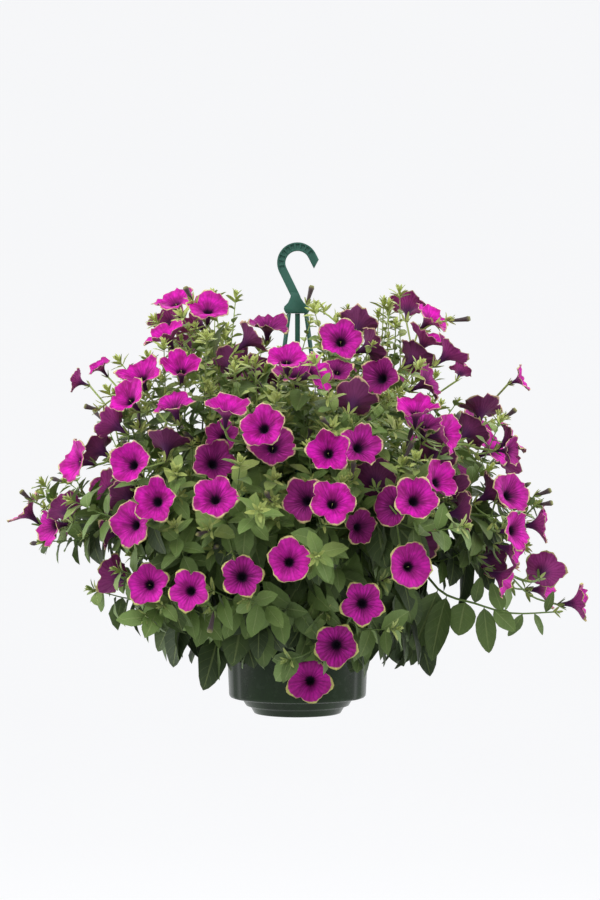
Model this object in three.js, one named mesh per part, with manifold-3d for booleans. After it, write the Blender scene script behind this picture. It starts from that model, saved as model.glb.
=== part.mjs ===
// A petunia in a hanging pot: a green plastic pot with its soil, the plastic hanger that is
// clipped into the pot's rim, and the plant, which grows over the rim on all sides.
// Units are millimetres and +Z is up. The plant and the pot are modelled with the pot's foot
// at height 0, and the whole group is lowered so that the origin is where the hook bears.
import * as THREE from "three";
import { mergeVertices } from "three/addons/utils/BufferGeometryUtils.js";
import Module from "manifold-3d";

const wasm = await Module();
wasm.setup();

// Driving dimensions
const GAP = 0.3; // between pieces that touch
const WALL = 2; // pot wall
const POT_FOOT_RADIUS = 53;
const POT_STEP_RADIUS = 63;
const POT_BOTTOM_RADIUS = 82;
const POT_TOP_RADIUS = 88;
const POT_HEIGHT = 160;
const RIM_RADIUS = 97;
const RIM_THICKNESS = 3.5;
const FOOT_STEP_HEIGHT = 9;
const SHOULDER_HEIGHT = 19;
const SOIL_HEIGHT = 142;
const HOOK_BEARING_HEIGHT = 554; // the hook's inside top above the pot's foot
const YOKE_HEIGHT = 479;
const ARM_ANGLES = [90, 210, 330]; // round the pot, in degrees from +X
const BLOOM_RADIUS = 26;
const BLOOM_LENGTH = 32;
const CANOPY_RADIUS = 320;
const CANOPY_WIDEST_HEIGHT = 230;
const CANOPY_RISE = 285;
const CANOPY_DROP = 215;

const GREEN_PLASTIC = { color: 0x1f4a3c, roughness: 0.45, metalness: 0 };
const POT_PLASTIC = { color: 0x1c2f24, roughness: 0.35, metalness: 0 };
const SOIL_BROWN = { color: 0x2e211a, roughness: 1, metalness: 0 };
const LEAF_GREEN = { color: 0x55792f, roughness: 0.6, metalness: 0 };
const PETAL_MAGENTA = { color: 0xc4149f, roughness: 0.6, metalness: 0 };

// Small vector and number helpers
const point = (x, y, z) => new THREE.Vector3(x, y, z);
const radians = THREE.MathUtils.degToRad;
const clamp = THREE.MathUtils.clamp;
const mix = THREE.MathUtils.lerp;
const along = (start, direction, length) => start.clone().addScaledVector(direction, length);
const UP = point(0, 0, 1);

// A number from 0 to 1 that is always the same for the same whole number
function chance(key) {
  let bits = Math.imul(key ^ 0x9e3779b9, 0x85ebca6b);
  bits = Math.imul(bits ^ (bits >>> 13), 0xc2b2ae35);
  return ((bits ^ (bits >>> 16)) >>> 0) / 4294967296;
}

// Solids
function solidOf(geometry) {
  const bare = new THREE.BufferGeometry();
  bare.setAttribute("position", geometry.getAttribute("position"));
  bare.setIndex(geometry.index);
  const merged = mergeVertices(bare, 1e-3);
  return new wasm.Manifold(
    new wasm.Mesh({
      numProp: 3,
      vertProperties: merged.attributes.position.array,
      triVerts: new Uint32Array(merged.index.array),
    }),
  );
}

function meshOf(name, solid, look) {
  const { vertProperties, triVerts } = solid.getMesh();
  const geometry = new THREE.BufferGeometry();
  geometry.setAttribute("position", new THREE.BufferAttribute(vertProperties, 3));
  geometry.setIndex(new THREE.BufferAttribute(triVerts, 1));
  const mesh = new THREE.Mesh(geometry, new THREE.MeshStandardMaterial({ ...look, flatShading: true }));
  mesh.name = name;
  return mesh;
}

function joined(solids) {
  return solids.reduce((whole, next) => whole.add(next));
}

// Skin gathers the points and faces of one closed surface
class Skin {
  constructor() {
    this.places = [];
    this.faces = [];
  }
  add(place) {
    this.places.push(place.x, place.y, place.z);
    return this.places.length / 3 - 1;
  }
  ring(places) {
    return places.map((place) => this.add(place));
  }
  cap(ring) {
    for (let i = 1; i < ring.length - 1; i++) this.faces.push(ring[0], ring[i + 1], ring[i]);
  }
  fan(ring, apex) {
    ring.forEach((corner, i) => this.faces.push(corner, ring[(i + 1) % ring.length], apex));
  }
  // Joins ring a to ring b, whose first points lie near each other
  band(a, b) {
    let i = 0;
    let j = 0;
    while (i < a.length || j < b.length) {
      const [from, to] = [a[i % a.length], b[j % b.length]];
      if (j === b.length || (i + 0.5) / a.length < (j + 0.5) / b.length) {
        i += 1;
        this.faces.push(from, a[i % a.length], to);
      } else {
        j += 1;
        this.faces.push(from, b[j % b.length], to);
      }
    }
  }
  solid() {
    const geometry = new THREE.BufferGeometry();
    geometry.setAttribute("position", new THREE.Float32BufferAttribute(this.places, 3));
    geometry.setIndex(this.faces);
    const made = solidOf(geometry);
    if (made.volume() >= 0) return made;
    for (let i = 0; i < this.faces.length; i += 3) {
      [this.faces[i + 1], this.faces[i + 2]] = [this.faces[i + 2], this.faces[i + 1]];
    }
    geometry.setIndex(this.faces);
    return solidOf(geometry);
  }
}

// Directions across a path, carried along it without twisting. The directions along the path can
// be given, place by place, where they shouldn't follow from the places alone.
function crossings(places, firstSide, given = []) {
  let side = firstSide;
  const last = places.length - 1;
  return places.map((place, i) => {
    const chord = places[Math.min(i + 1, last)].clone().sub(places[Math.max(i - 1, 0)]);
    const ahead = (given[i] ?? chord).clone().normalize();
    side = along(side, ahead, -side.dot(ahead)).normalize();
    return { place, ahead, side, over: ahead.clone().cross(side) };
  });
}

function tube(places, radii, sides, firstSide, given) {
  const skin = new Skin();
  const rings = crossings(places, firstSide, given).map(({ place, side, over }, i) =>
    skin.ring(
      Array.from({ length: sides }, (_, k) => {
        const angle = (2 * Math.PI * k) / sides;
        return along(along(place, side, radii[i] * Math.cos(angle)), over, radii[i] * Math.sin(angle));
      }),
    ),
  );
  rings.slice(1).forEach((ring, i) => skin.band(rings[i], ring));
  skin.cap(rings[0]);
  skin.cap(rings[rings.length - 1].slice().reverse());
  return skin.solid();
}

function bezier(start, first, second, end, t) {
  const s = 1 - t;
  return start
    .clone()
    .multiplyScalar(s * s * s)
    .addScaledVector(first, 3 * s * s * t)
    .addScaledVector(second, 3 * s * t * t)
    .addScaledVector(end, t * t * t);
}

// A place on a path of straight stretches, by its share of them
function onPath(places, share) {
  const stretch = clamp(share, 0, 1) * (places.length - 1);
  const before = Math.min(Math.floor(stretch), places.length - 2);
  return places[before].clone().lerp(places[before + 1], stretch - before);
}

// The pot: a moulded shell with a stepped foot, an out-turned rim with a slot for each arm of
// the hanger, a shallow channel down the wall under each slot, and drain holes in the floor
const POT_FACETS = 24;
const SLOT = { radius: 92.5, deep: 5, wide: 9 };
const CHANNEL = { wide: 10, deep: 1.1 };
const DRAIN = { radius: 4, ring: 32, count: 4 };

function turned(profile, facets) {
  const outline = [...profile, profile[0]].map(([radius, height]) => new THREE.Vector2(radius, height));
  return solidOf(new THREE.LatheGeometry(outline, facets).rotateX(Math.PI / 2));
}

function block(width, depth, height, centre, angle) {
  const box = new THREE.BoxGeometry(width, depth, height).translate(centre.x, centre.y, centre.z);
  return solidOf(box.rotateZ(radians(angle)));
}

function makePot() {
  const footInner = 44;
  const floor = 2.5;
  const shell = turned(
    [
      [0, floor],
      [footInner, floor],
      [footInner + 1, 0],
      [POT_FOOT_RADIUS - 1, 0],
      [POT_FOOT_RADIUS, FOOT_STEP_HEIGHT],
      [POT_STEP_RADIUS, FOOT_STEP_HEIGHT],
      [POT_STEP_RADIUS, SHOULDER_HEIGHT],
      [POT_BOTTOM_RADIUS, SHOULDER_HEIGHT],
      [POT_TOP_RADIUS, POT_HEIGHT - RIM_THICKNESS],
      [RIM_RADIUS, POT_HEIGHT - RIM_THICKNESS],
      [RIM_RADIUS, POT_HEIGHT],
      [POT_TOP_RADIUS - WALL, POT_HEIGHT],
      [POT_BOTTOM_RADIUS - WALL, SHOULDER_HEIGHT + WALL],
      [POT_STEP_RADIUS - WALL, SHOULDER_HEIGHT + WALL],
      [POT_FOOT_RADIUS - WALL, floor + WALL],
      [0, floor + WALL],
    ],
    POT_FACETS,
  );
  let pot = shell;
  for (const angle of ARM_ANGLES) {
    pot = pot.subtract(block(SLOT.deep, SLOT.wide, 20, point(SLOT.radius, 0, POT_HEIGHT), angle));
    const channelHeight = POT_HEIGHT - RIM_THICKNESS - SHOULDER_HEIGHT - 10;
    const channel = new THREE.BoxGeometry(CHANNEL.deep * 2, CHANNEL.wide, channelHeight)
      .rotateY(Math.atan2(POT_TOP_RADIUS - POT_BOTTOM_RADIUS, POT_HEIGHT - SHOULDER_HEIGHT))
      .translate((POT_TOP_RADIUS + POT_BOTTOM_RADIUS) / 2, 0, SHOULDER_HEIGHT + 5 + channelHeight / 2)
      .rotateZ(radians(angle));
    pot = pot.subtract(solidOf(channel));
  }
  for (let i = 0; i < DRAIN.count; i++) {
    const drill = new THREE.CylinderGeometry(DRAIN.radius, DRAIN.radius, 12, 6).rotateX(Math.PI / 2);
    drill.translate(DRAIN.ring, 0, 0).rotateZ(radians(45 + (360 / DRAIN.count) * i));
    pot = pot.subtract(solidOf(drill));
  }
  return pot;
}

// The soil fills the pot to below its rim. Each stem stands in a plain hole in it.
const SOIL_FACETS = 18;

function makeSoil(stemHoles) {
  // The soil's corners stay inside the pot's flat facets
  const inside = (radius) => (radius - WALL) * Math.cos(Math.PI / POT_FACETS) - GAP;
  const topShare = (SOIL_HEIGHT - SHOULDER_HEIGHT) / (POT_HEIGHT - SHOULDER_HEIGHT);
  const topRadius = inside(mix(POT_BOTTOM_RADIUS, POT_TOP_RADIUS, topShare));
  const soil = turned(
    [
      [0, FOOT_STEP_HEIGHT],
      [inside(POT_FOOT_RADIUS), FOOT_STEP_HEIGHT],
      [inside(POT_STEP_RADIUS) - 1, SHOULDER_HEIGHT + WALL + GAP],
      [inside(POT_BOTTOM_RADIUS), SHOULDER_HEIGHT + WALL + GAP],
      [topRadius, SOIL_HEIGHT - 4],
      [0.8 * topRadius, SOIL_HEIGHT],
      [0, SOIL_HEIGHT],
    ],
    SOIL_FACETS,
  );
  return stemHoles.reduce((whole, hole) => whole.subtract(hole), soil);
}

// The hanger's hook: a flat moulded hook with ribbed recesses, on a flared yoke
const HOOK = {
  radius: 19.5, // of its centre line
  width: 10,
  thickness: 7,
  centreHeight: HOOK_BEARING_HEIGHT - 19.5 + 5,
  tipAngle: 27,
  stemAngle: 206,
  tipLength: 15,
  stemLength: 38,
};
const YOKE = { halfWidth: 15, barHeight: 5 };

function hookLine(distance) {
  // The centre line's place and its outward direction, by distance from the arc's tip end
  const { radius, centreHeight, tipAngle, stemAngle } = HOOK;
  const arc = (radians(stemAngle - tipAngle) * radius);
  const angle = radians(tipAngle) + clamp(distance, 0, arc) / radius;
  const outward = new THREE.Vector2(Math.cos(angle), Math.sin(angle));
  const ahead = new THREE.Vector2(-outward.y, outward.x);
  const place = outward.clone().multiplyScalar(radius).add(new THREE.Vector2(0, centreHeight));
  place.addScaledVector(ahead, distance - clamp(distance, 0, arc));
  return { place, outward, ahead, arc };
}

function upright(shape, thickness) {
  const depth = { depth: thickness, bevelEnabled: false };
  return solidOf(new THREE.ExtrudeGeometry(shape, depth).rotateX(Math.PI / 2).translate(0, thickness / 2, 0));
}

function makeHook() {
  const { arc } = hookLine(0);
  const stops = [-HOOK.tipLength];
  for (let i = 0; i <= 14; i++) stops.push((arc * i) / 14);
  const end = arc + HOOK.stemLength;
  stops.push(end);
  const edge = (stop, sign) => {
    const { place, outward } = hookLine(stop);
    const half = HOOK.width / 2 + (stop === end ? 1 : 0);
    return place.clone().addScaledVector(outward, sign * half);
  };
  const outer = stops.map((stop) => edge(stop, 1));
  const inner = stops.map((stop) => edge(stop, -1)).reverse();
  // The tip is cut to a point on its outer side
  outer[0].addScaledVector(hookLine(0).ahead, 7);
  const { halfWidth, barHeight } = YOKE;
  const yoke = [
    [-halfWidth, YOKE_HEIGHT + barHeight + 3],
    [-halfWidth - 1.5, YOKE_HEIGHT + barHeight],
    [-halfWidth + 1, YOKE_HEIGHT],
    [halfWidth - 1, YOKE_HEIGHT],
    [halfWidth + 1.5, YOKE_HEIGHT + barHeight],
    [halfWidth - 3, YOKE_HEIGHT + barHeight + 5],
  ].map(([x, height]) => new THREE.Vector2(x, height));
  const outline = [...outer, ...yoke, ...inner];
  let hook = upright(new THREE.Shape(outline), HOOK.thickness);
  // Recesses between the cross ribs, on both faces
  const pockets = 10;
  for (let i = 0; i < pockets; i++) {
    const from = hookLine((arc * (i + 0.16)) / pockets);
    const to = hookLine((arc * (i + 0.84)) / pockets);
    const corner = (line, side) => line.place.clone().addScaledVector(line.outward, side * 2.8);
    const pocket = new THREE.Shape([corner(from, 1), corner(to, 1), corner(to, -1), corner(from, -1)]);
    for (const face of [-1, 1]) {
      const cut = upright(pocket, 3).translate([0, (face * HOOK.thickness) / 2, 0]);
      hook = hook.subtract(cut);
    }
  }
  return hook;
}

// An arm of the hanger: a strap from under the yoke to its slot in the rim, with a barb below
const ARM = { thickness: 2.6, wide: 6, steps: 7 };

function armPlaces(angle) {
  const outward = point(Math.cos(radians(angle)), Math.sin(radians(angle)), 0);
  const top = point(12 * Math.cos(radians(angle)), 0, YOKE_HEIGHT - GAP);
  const slot = along(point(0, 0, POT_HEIGHT + 12), outward, SLOT.radius);
  const first = along(top, outward, 8).setZ(YOKE_HEIGHT - 120);
  const second = along(slot, UP, 90);
  const places = Array.from({ length: ARM.steps }, (_, i) =>
    bezier(top, first, second, slot, i / (ARM.steps - 1)),
  );
  places.push(along(slot, UP, -12 - RIM_THICKNESS - GAP - 5));
  return places;
}

function makeArm(angle) {
  const across = point(-Math.sin(radians(angle)), Math.cos(radians(angle)), 0);
  const skin = new Skin();
  const places = armPlaces(angle);
  const rings = crossings(places, across).map(({ place, side, over }) =>
    skin.ring(
      [
        [1, 1],
        [-1, 1],
        [-1, -1],
        [1, -1],
      ].map(([a, b]) => along(along(place, side, (a * ARM.wide) / 2), over, (b * ARM.thickness) / 2)),
    ),
  );
  // The top end is flat, under the yoke
  rings.slice(1).forEach((ring, i) => skin.band(rings[i], ring));
  skin.cap(rings[0]);
  skin.cap(rings[rings.length - 1].slice().reverse());
  const under = POT_HEIGHT - RIM_THICKNESS - GAP;
  const barb = block(3.6, 13, 3, point(SLOT.radius + 0.4, 0, under - 1.5), angle);
  const above = block(400, 400, 10, point(0, 0, YOKE_HEIGHT - GAP + 5), 0);
  return skin.solid().add(barb).subtract(above);
}

// The canopy is the plant's round outline, which the blooms and leaf tips lie near
function canopyRadius(height) {
  const above = Math.max(height - CANOPY_WIDEST_HEIGHT, 0) / CANOPY_RISE;
  const below = Math.max(CANOPY_WIDEST_HEIGHT - height, 0) / CANOPY_DROP;
  const share = 1 - Math.min(above, 1) ** 2.4 - Math.min(below, 1) ** 1.7;
  return CANOPY_RADIUS * Math.max(share, 0) ** 0.5;
}

// The open blooms of each shoot on the near side, as they show from the front: across and
// height, then how far the bloom is turned to the right and tilted up, in degrees, how far
// behind the canopy's near face it lies, and its size where it isn't 1
const NEAR_SHOOTS = [
  [[-107, 491, 5, 52], [-128, 472, -110, 35, 40], [-160, 458, -50, 60, 30]],
  [[-190, 410, -20, 48], [-140, 419, 0, 50], [-207, 381, -35, 35], [-151, 376, -30, 62, 10],
    [-240, 419, -60, 50, 30, 0.65]],
  [[-203, 300, -25, 15], [-271, 303, -60, 10, 10], [-244, 320, -120, 30, 90], [-155, 330, 170, 60, 60],
    [-227, 350, -120, 30, 60], [-268, 399, -100, 20, 60, 0.65]],
  [[-172, 255, -15, 12], [-202, 226, -32, 8], [-209, 264, -140, 30, 90], [-233, 214, -100, 0, 60, 0.7]],
  [[-301, 223, -55, -5, 20], [-280, 250, -150, 40, 60], [-331, 246, -90, 42, 30]],
  [[-181, 154, -12, 8], [-224, 165, -130, 10, 60], [-131, 147, -10, 10]],
  [[-100, 261, -5, 28], [-100, 302, 10, 20, 60], [-67, 164, 0, 10]],
  [[-9, 182, 5, 10], [7, 256, -20, 12, 20], [43, 255, 5, 25], [77, 222, 30, 0, 70, 0.8]],
  [[-43, 345, -12, 20], [-29, 322, 5, 25, 30], [-85, 371, 10, 66], [-91, 334, -10, 25, 80, 0.8]],
  [[36, 314, -5, 15], [77, 322, 20, 22], [70, 380, 160, 40, 60], [97, 404, -25, 15, 40]],
  [[-13, 431, 0, 55], [-3, 414, -10, 60, 70], [27, 410, 60, 20, 30], [49, 413, 10, 40, 60, 0.65]],
  [[-35, 471, 10, 66, 110], [-51, 453, 100, 40, 100], [-79, 422, 180, 35, 140], [-44, 408, 150, 20, 160]],
  [[52, 450, 0, 25, 40], [76, 470, 150, 45, 60], [94, 441, 110, 20, 70]],
  [[158, 454, 80, 60, 80], [133, 494, 170, 58, 60], [164, 478, 60, 45, 50], [188, 436, 95, 40, 60],
    [163, 400, 70, 25, 50], [146, 428, 130, 30, 110]],
  [[143, 370, 5, 60], [153, 353, 10, 62, 50], [185, 336, 60, 10, 30], [169, 311, 150, 20, 110],
    [220, 370, 170, 60, 90], [211, 341, 130, 30, 100], [262, 334, 85, 38, 60], [259, 314, 60, 0, 40, 0.7]],
  [[143, 257, 15, 18], [112, 248, -35, 10, 30], [93, 281, 180, 20, 90], [136, 176, 12, 8]],
  [[175, 280, 45, 20, 10], [195, 266, 120, 10, 70], [205, 240, 100, 5, 60], [148, 202, 140, 0, 90]],
  [[239, 267, 100, 30, 60], [260, 264, 40, 20, 40], [267, 219, 50, 5], [298, 226, 82, 5, 30]],
  [[267, 192, 70, -15, 40], [238, 183, 130, -10, 80], [254, 158, 80, -25, 30], [304, 147, 75, 0, 20],
    [297, 173, 160, 20, 60], [344, 132, 80, 5, 10]],
  [[79, 131, 5, 5], [45, 80, -8, 0], [14, 38, -5, 5]],
];
// The far side repeats shoots of the near side: which one, and how far round the pot it is turned
const FAR_SHOOTS = [[1, 200], [13, 162], [2, 175], [9, 170], [15, 182], [3, 192], [17, 180]];
const EYE = point(3, -2700, 315); // where the front view is seen from

function facing(turn, tilt) {
  const level = Math.cos(radians(tilt));
  return point(Math.sin(radians(turn)) * level, -Math.cos(radians(turn)) * level, Math.sin(radians(tilt)));
}

// The place at depth y that shows at this place across and height in the front view
function onSight(across, height, y) {
  const stretch = (y - EYE.y) / -EYE.y;
  return point(EYE.x + (across - EYE.x) * stretch, y, EYE.z + (height - EYE.z) * stretch);
}

function nearBloom(shoot, [across, height, turn, tilt, behind = 0, size = 1]) {
  const radius = canopyRadius(height);
  const potFront = height < POT_HEIGHT && Math.abs(across) < RIM_RADIUS ? 135 : 0;
  const reach = Math.sqrt(Math.max(radius * radius - across * across, 0));
  const y = behind - Math.max(0.9 * reach, potFront);
  return { shoot, across, height, y, size, direction: facing(turn, tilt) };
}

function placeBloom(bloom) {
  bloom.centre = onSight(bloom.across, bloom.height, bloom.y);
  bloom.foot = along(bloom.centre, bloom.direction, -BLOOM_LENGTH * bloom.size);
}

// Moves blooms that would meet apart in depth, which keeps where they show in the front view
function spreadBlooms(blooms) {
  const rounds = 60;
  const push = 2;
  const near = (a, b, room) => a.distanceTo(b) < room;
  for (let round = 0; round < rounds; round++) {
    blooms.forEach(placeBloom);
    blooms.forEach((a, i) =>
      blooms.slice(i + 1).forEach((b) => {
        const wide = (a.size + b.size) * 23;
        const meets =
          near(a.centre, b.centre, wide) ||
          near(a.centre, b.foot, a.size * 27 + 8) ||
          near(a.foot, b.centre, b.size * 27 + 8) ||
          near(a.foot, b.foot, 14);
        if (!meets) return;
        const sign = a.y < b.y ? 1 : -1;
        a.y -= push * sign;
        b.y += push * sign;
      }),
    );
  }
  blooms.forEach(placeBloom);
}

function layOutBlooms() {
  const near = NEAR_SHOOTS.flatMap((blooms, shoot) => blooms.map((bloom) => nearBloom(shoot, bloom)));
  spreadBlooms(near);
  const far = FAR_SHOOTS.flatMap(([source, turn], i) => {
    const turned = (place) => place.clone().applyAxisAngle(UP, radians(turn));
    return near
      .filter(({ shoot }) => shoot === source)
      .map((bloom) => ({
        ...bloom,
        shoot: NEAR_SHOOTS.length + i,
        direction: turned(bloom.direction),
        centre: turned(bloom.centre),
        foot: turned(bloom.foot),
      }));
  });
  return [...near, ...far];
}

// A bloom on its stalk, as one skin: up the stalk and the tube, out over the back of the five
// lobes, and in over their face to the bottom of the funnel
const LOBES = 5;

function makeBloom({ centre, direction, size }, stalk, radii, firstSide, given) {
  const skin = new Skin();
  const frames = crossings(stalk, firstSide, given);
  // A ring of points, whose first point is turned by a share of the step between two of them
  const section = ({ place, side, over }, count, radius, share = 0) =>
    skin.ring(
      Array.from({ length: count }, (_, i) => {
        const angle = (2 * Math.PI * (i + share)) / count;
        return along(along(place, side, radius * Math.cos(angle)), over, radius * Math.sin(angle));
      }),
    );
  const { side: across } = frames[frames.length - 1];
  const side = along(across, direction, -across.dot(direction)).normalize();
  const over = direction.clone().cross(side);
  const level = (height) => ({ place: along(centre, direction, height * size), side, over });
  const rings = frames.map((frame, i) => section(frame, 3, radii[i]));
  rings.push(section(level(-12), LOBES, 7 * size));
  // The lobes bend back at their tips, and the notches between them stand forward
  const lobes = section(level(-1.5), LOBES, BLOOM_RADIUS * size);
  const notches = section(level(1.5), LOBES, (BLOOM_RADIUS - 3) * size, 0.5);
  rings.push(lobes.flatMap((lobe, i) => [lobe, notches[i]]));
  rings.slice(1).forEach((next, i) => skin.band(rings[i], next));
  skin.cap(rings[0]);
  skin.fan(rings[rings.length - 1], skin.add(level(-11).place));
  return skin.solid();
}

// Shoots: each leafy stem ends in a spray of blooms on thin stalks
const STEM = { sides: 3, baseRadius: 2.7, tipRadius: 2, steps: 6, inSoil: 22 };
const SWAYS = [0, 20, -20, 40, -40, 60, -60, 85, -85];
const STALK_RADIUS = 1.1;
const TIP_DEPTH = 8; // from the middle of the blooms' feet in to the leafy stem's tip
const SOIL_RINGS = [24, 44, 64];

function layOutShoots(blooms) {
  const count = NEAR_SHOOTS.length + FAR_SHOOTS.length;
  const shoots = Array.from({ length: count }, (_, number) => {
    const own = blooms.filter(({ shoot }) => shoot === number);
    const middle = point(0, 0, 0);
    own.forEach(({ foot }) => middle.addScaledVector(foot, 1 / own.length));
    const outward = point(middle.x, middle.y, middle.z - CANOPY_WIDEST_HEIGHT).normalize();
    const tip = along(middle, outward, -TIP_DEPTH);
    const beside = Math.hypot(tip.x, tip.y);
    const clear = RIM_RADIUS + 14;
    if (tip.z < POT_HEIGHT + 25 && beside < clear) {
      tip.x *= clear / beside;
      tip.y *= clear / beside;
    }
    const lift = tip.z - 250;
    const rise = clamp(lift * (lift < 0 ? 0.42 : 0.22), -75, 50);
    const azimuth = Math.atan2(tip.y, tip.x);
    const arrival = point(
      Math.cos(azimuth) * Math.cos(radians(rise)),
      Math.sin(azimuth) * Math.cos(radians(rise)),
      Math.sin(radians(rise)),
    );
    // The bloom that lies most nearly straight ahead comes first
    const aside = ({ foot }) => foot.clone().sub(tip).angleTo(arrival);
    own.sort((a, b) => aside(a) - aside(b));
    return { number, own, tip, azimuth, arrival };
  });
  // Low shoots root near the rim and high ones near the middle, in the order that they lie round it
  const byHeight = [...shoots].sort((a, b) => b.tip.z - a.tip.z);
  SOIL_RINGS.forEach((radius, ring) => {
    const size = Math.ceil(count / SOIL_RINGS.length);
    const members = byHeight.slice(ring * size, (ring + 1) * size).sort((a, b) => a.azimuth - b.azimuth);
    const offset = members.reduce((sum, { azimuth }, i) => {
      const even = -Math.PI + (2 * Math.PI * (i + 0.5)) / members.length;
      return sum + (azimuth - even) / members.length;
    }, 0);
    members.forEach((shoot, i) => {
      const even = offset - Math.PI + (2 * Math.PI * (i + 0.5)) / members.length;
      shoot.root = point(radius * Math.cos(even), radius * Math.sin(even), SOIL_HEIGHT + 6);
    });
  });
  return shoots;
}

// The stem rises from the soil, bends over and arrives at its tip. Sway leans it to one side.
function bendStem(shoot, sway) {
  const { root, tip, arrival } = shoot;
  const span = root.distanceTo(tip);
  const first = along(root, UP, 0.35 * span + Math.max(0, 200 - tip.z) * 0.6);
  first.addScaledVector(sideOf(shoot), sway);
  const second = along(tip, arrival, -0.38 * span);
  shoot.stem = Array.from({ length: STEM.steps + 1 }, (_, i) =>
    bezier(root, first, second, tip, i / STEM.steps),
  );
}

// Low stems each give off a side shoot that hangs down beside the pot. The side shoots are spread
// evenly round the pot, and each is turned a little if that keeps it clear.
const SKIRT = { count: 15, radius: 132, height: 96, startRadius: 108, steps: 3, turns: [0, 6, -6, 11, -11] };

function sideStem({ stem }, azimuth, key) {
  const places = Array.from({ length: 40 }, (_, k) => onPath(stem, k / 40));
  const start = places.find(({ x, y }) => Math.hypot(x, y) > SKIRT.startRadius) ?? stem[STEM.steps];
  const outward = point(Math.cos(azimuth), Math.sin(azimuth), 0);
  const height = SKIRT.height + 24 * chance(key);
  const end = along(point(0, 0, height), outward, SKIRT.radius + 14 * chance(key + 1));
  const first = along(along(start, outward, 22), UP, 10);
  const second = along(end, UP, 45);
  return Array.from({ length: SKIRT.steps + 1 }, (_, k) => bezier(start, first, second, end, k / SKIRT.steps));
}

function addSideShoots(shoots, room) {
  const free = shoots.filter(({ tip }) => tip.z < 330);
  for (let i = 0; i < SKIRT.count; i++) {
    const options = free.flatMap((shoot) =>
      SKIRT.turns.map((turn) => {
        const places = sideStem(shoot, radians((360 * i) / SKIRT.count + turn), 300 + 2 * i);
        return { shoot, places, reach: places[0].distanceTo(places[SKIRT.steps]) };
      }),
    );
    options.sort((a, b) => a.reach - b.reach);
    const chosen = options.find(({ shoot, places }) => room.isClear(lineBalls(places, 2.5), shoot.stem));
    if (!chosen) continue;
    chosen.shoot.sideStem = chosen.places;
    room.add(lineBalls(chosen.places, 2.5), chosen.places);
    free.splice(free.indexOf(chosen.shoot), 1);
  }
}

const sideOf = (shoot) => point(-Math.sin(shoot.azimuth), Math.cos(shoot.azimuth), 0);

function stemPlaces(shoot) {
  return [along(shoot.root, UP, -6 - STEM.inSoil), ...shoot.stem];
}

function makeStem(shoot) {
  const places = stemPlaces(shoot);
  const radii = places.map((_, i) => mix(STEM.baseRadius, STEM.tipRadius, i / (places.length - 1)));
  const given = places.map((_, i) => (i === places.length - 1 ? shoot.arrival : undefined));
  const stem = tube(places, radii, STEM.sides, sideOf(shoot), given);
  if (!shoot.sideStem) return stem;
  return stem.add(tube(shoot.sideStem, [1, 1.9, 1.8, 1.6], STEM.sides, sideOf(shoot)));
}

function makeStemHole(shoot) {
  const bottom = along(shoot.root, UP, -6 - STEM.inSoil - GAP);
  const top = along(shoot.root, UP, 12);
  const radius = STEM.baseRadius + 2.2 * GAP;
  return tube([bottom, top], [radius, radius], STEM.sides, sideOf(shoot));
}

// The flowering end of a shoot goes on from the stem's tip as the first bloom's stalk, and the
// other blooms' stalks branch from it
function stalksOf(shoot) {
  const [main, ...others] = shoot.own;
  const start = along(shoot.tip, shoot.arrival, GAP);
  const curve = (from, ahead, { foot, direction }) => {
    const span = from.distanceTo(foot);
    const first = along(from, ahead, 0.4 * span);
    const second = along(foot, direction, -0.4 * span);
    return (t) => bezier(from, first, second, foot, t);
  };
  const mainLine = curve(start, shoot.arrival, main);
  const mainStalk = [0, 0.35, 0.7, 1].map(mainLine);
  const stalks = [mainStalk];
  others.forEach((bloom, i) => {
    const from = mainStalk[0].clone().lerp(mainStalk[1], (0.9 * (i + 0.7)) / (others.length + 0.4));
    const ahead = bloom.foot.clone().sub(from).normalize().addScaledVector(shoot.arrival, 0.6).normalize();
    const bends = bloom.foot.clone().sub(from).angleTo(bloom.direction) > radians(55);
    stalks.push((bends ? [0, 0.5, 1] : [0, 1]).map(curve(from, ahead, bloom)));
  });
  return stalks;
}

function makeSpray(shoot) {
  const pieces = stalksOf(shoot).map((stalk, i) => {
    const angle = 2 * Math.PI * chance(shoot.number * 40 + i);
    const firstSide = point(Math.cos(angle), Math.sin(angle), 0.4);
    // The first stalk is thickest where the others, which start inside it, branch off. The first
    // two sections of each are parallel, so that the sides between them are flat.
    const { direction } = shoot.own[i];
    const chord = stalk[stalk.length - 1].clone().sub(stalk[0]);
    const given = i === 0 ? [shoot.arrival, shoot.arrival, undefined, direction] : [chord, chord, direction];
    if (stalk.length === 2) given.splice(0, 2, direction, direction);
    const radii = i === 0 ? [1.9, 2.1, 1.3, 1.6] : [0.7, ...stalk.slice(2).fill(STALK_RADIUS), 1.6];
    return makeBloom(shoot.own[i], stalk, radii, firstSide, given);
  });
  return joined(pieces);
}

// A leaf: an oval blade that arches down to its tip, with a keel for its midrib
const GOLDEN_ANGLE = 137.5;
const LEAF_THICKNESS = 1.6;
const PETIOLE = { length: 5, halfWidth: 0.9, depth: 1.3 };
const LEAF_ROOM = 3; // radius of the balls that stand for leaves and petals in the clearance test

function leafStations(leaf, shares) {
  const { base, ahead, side, up, length, width, arch } = leaf;
  return shares.map((share) => {
    const angle = radians(arch) * share;
    const place = along(along(base, ahead, length * share * Math.cos(angle / 2)), up, -length * share * Math.sin(angle / 2));
    const half = (width / 2) * Math.max(Math.sin(Math.PI * share ** 0.72), 0) ** 0.8;
    return { place, half, side, up };
  });
}

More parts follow.
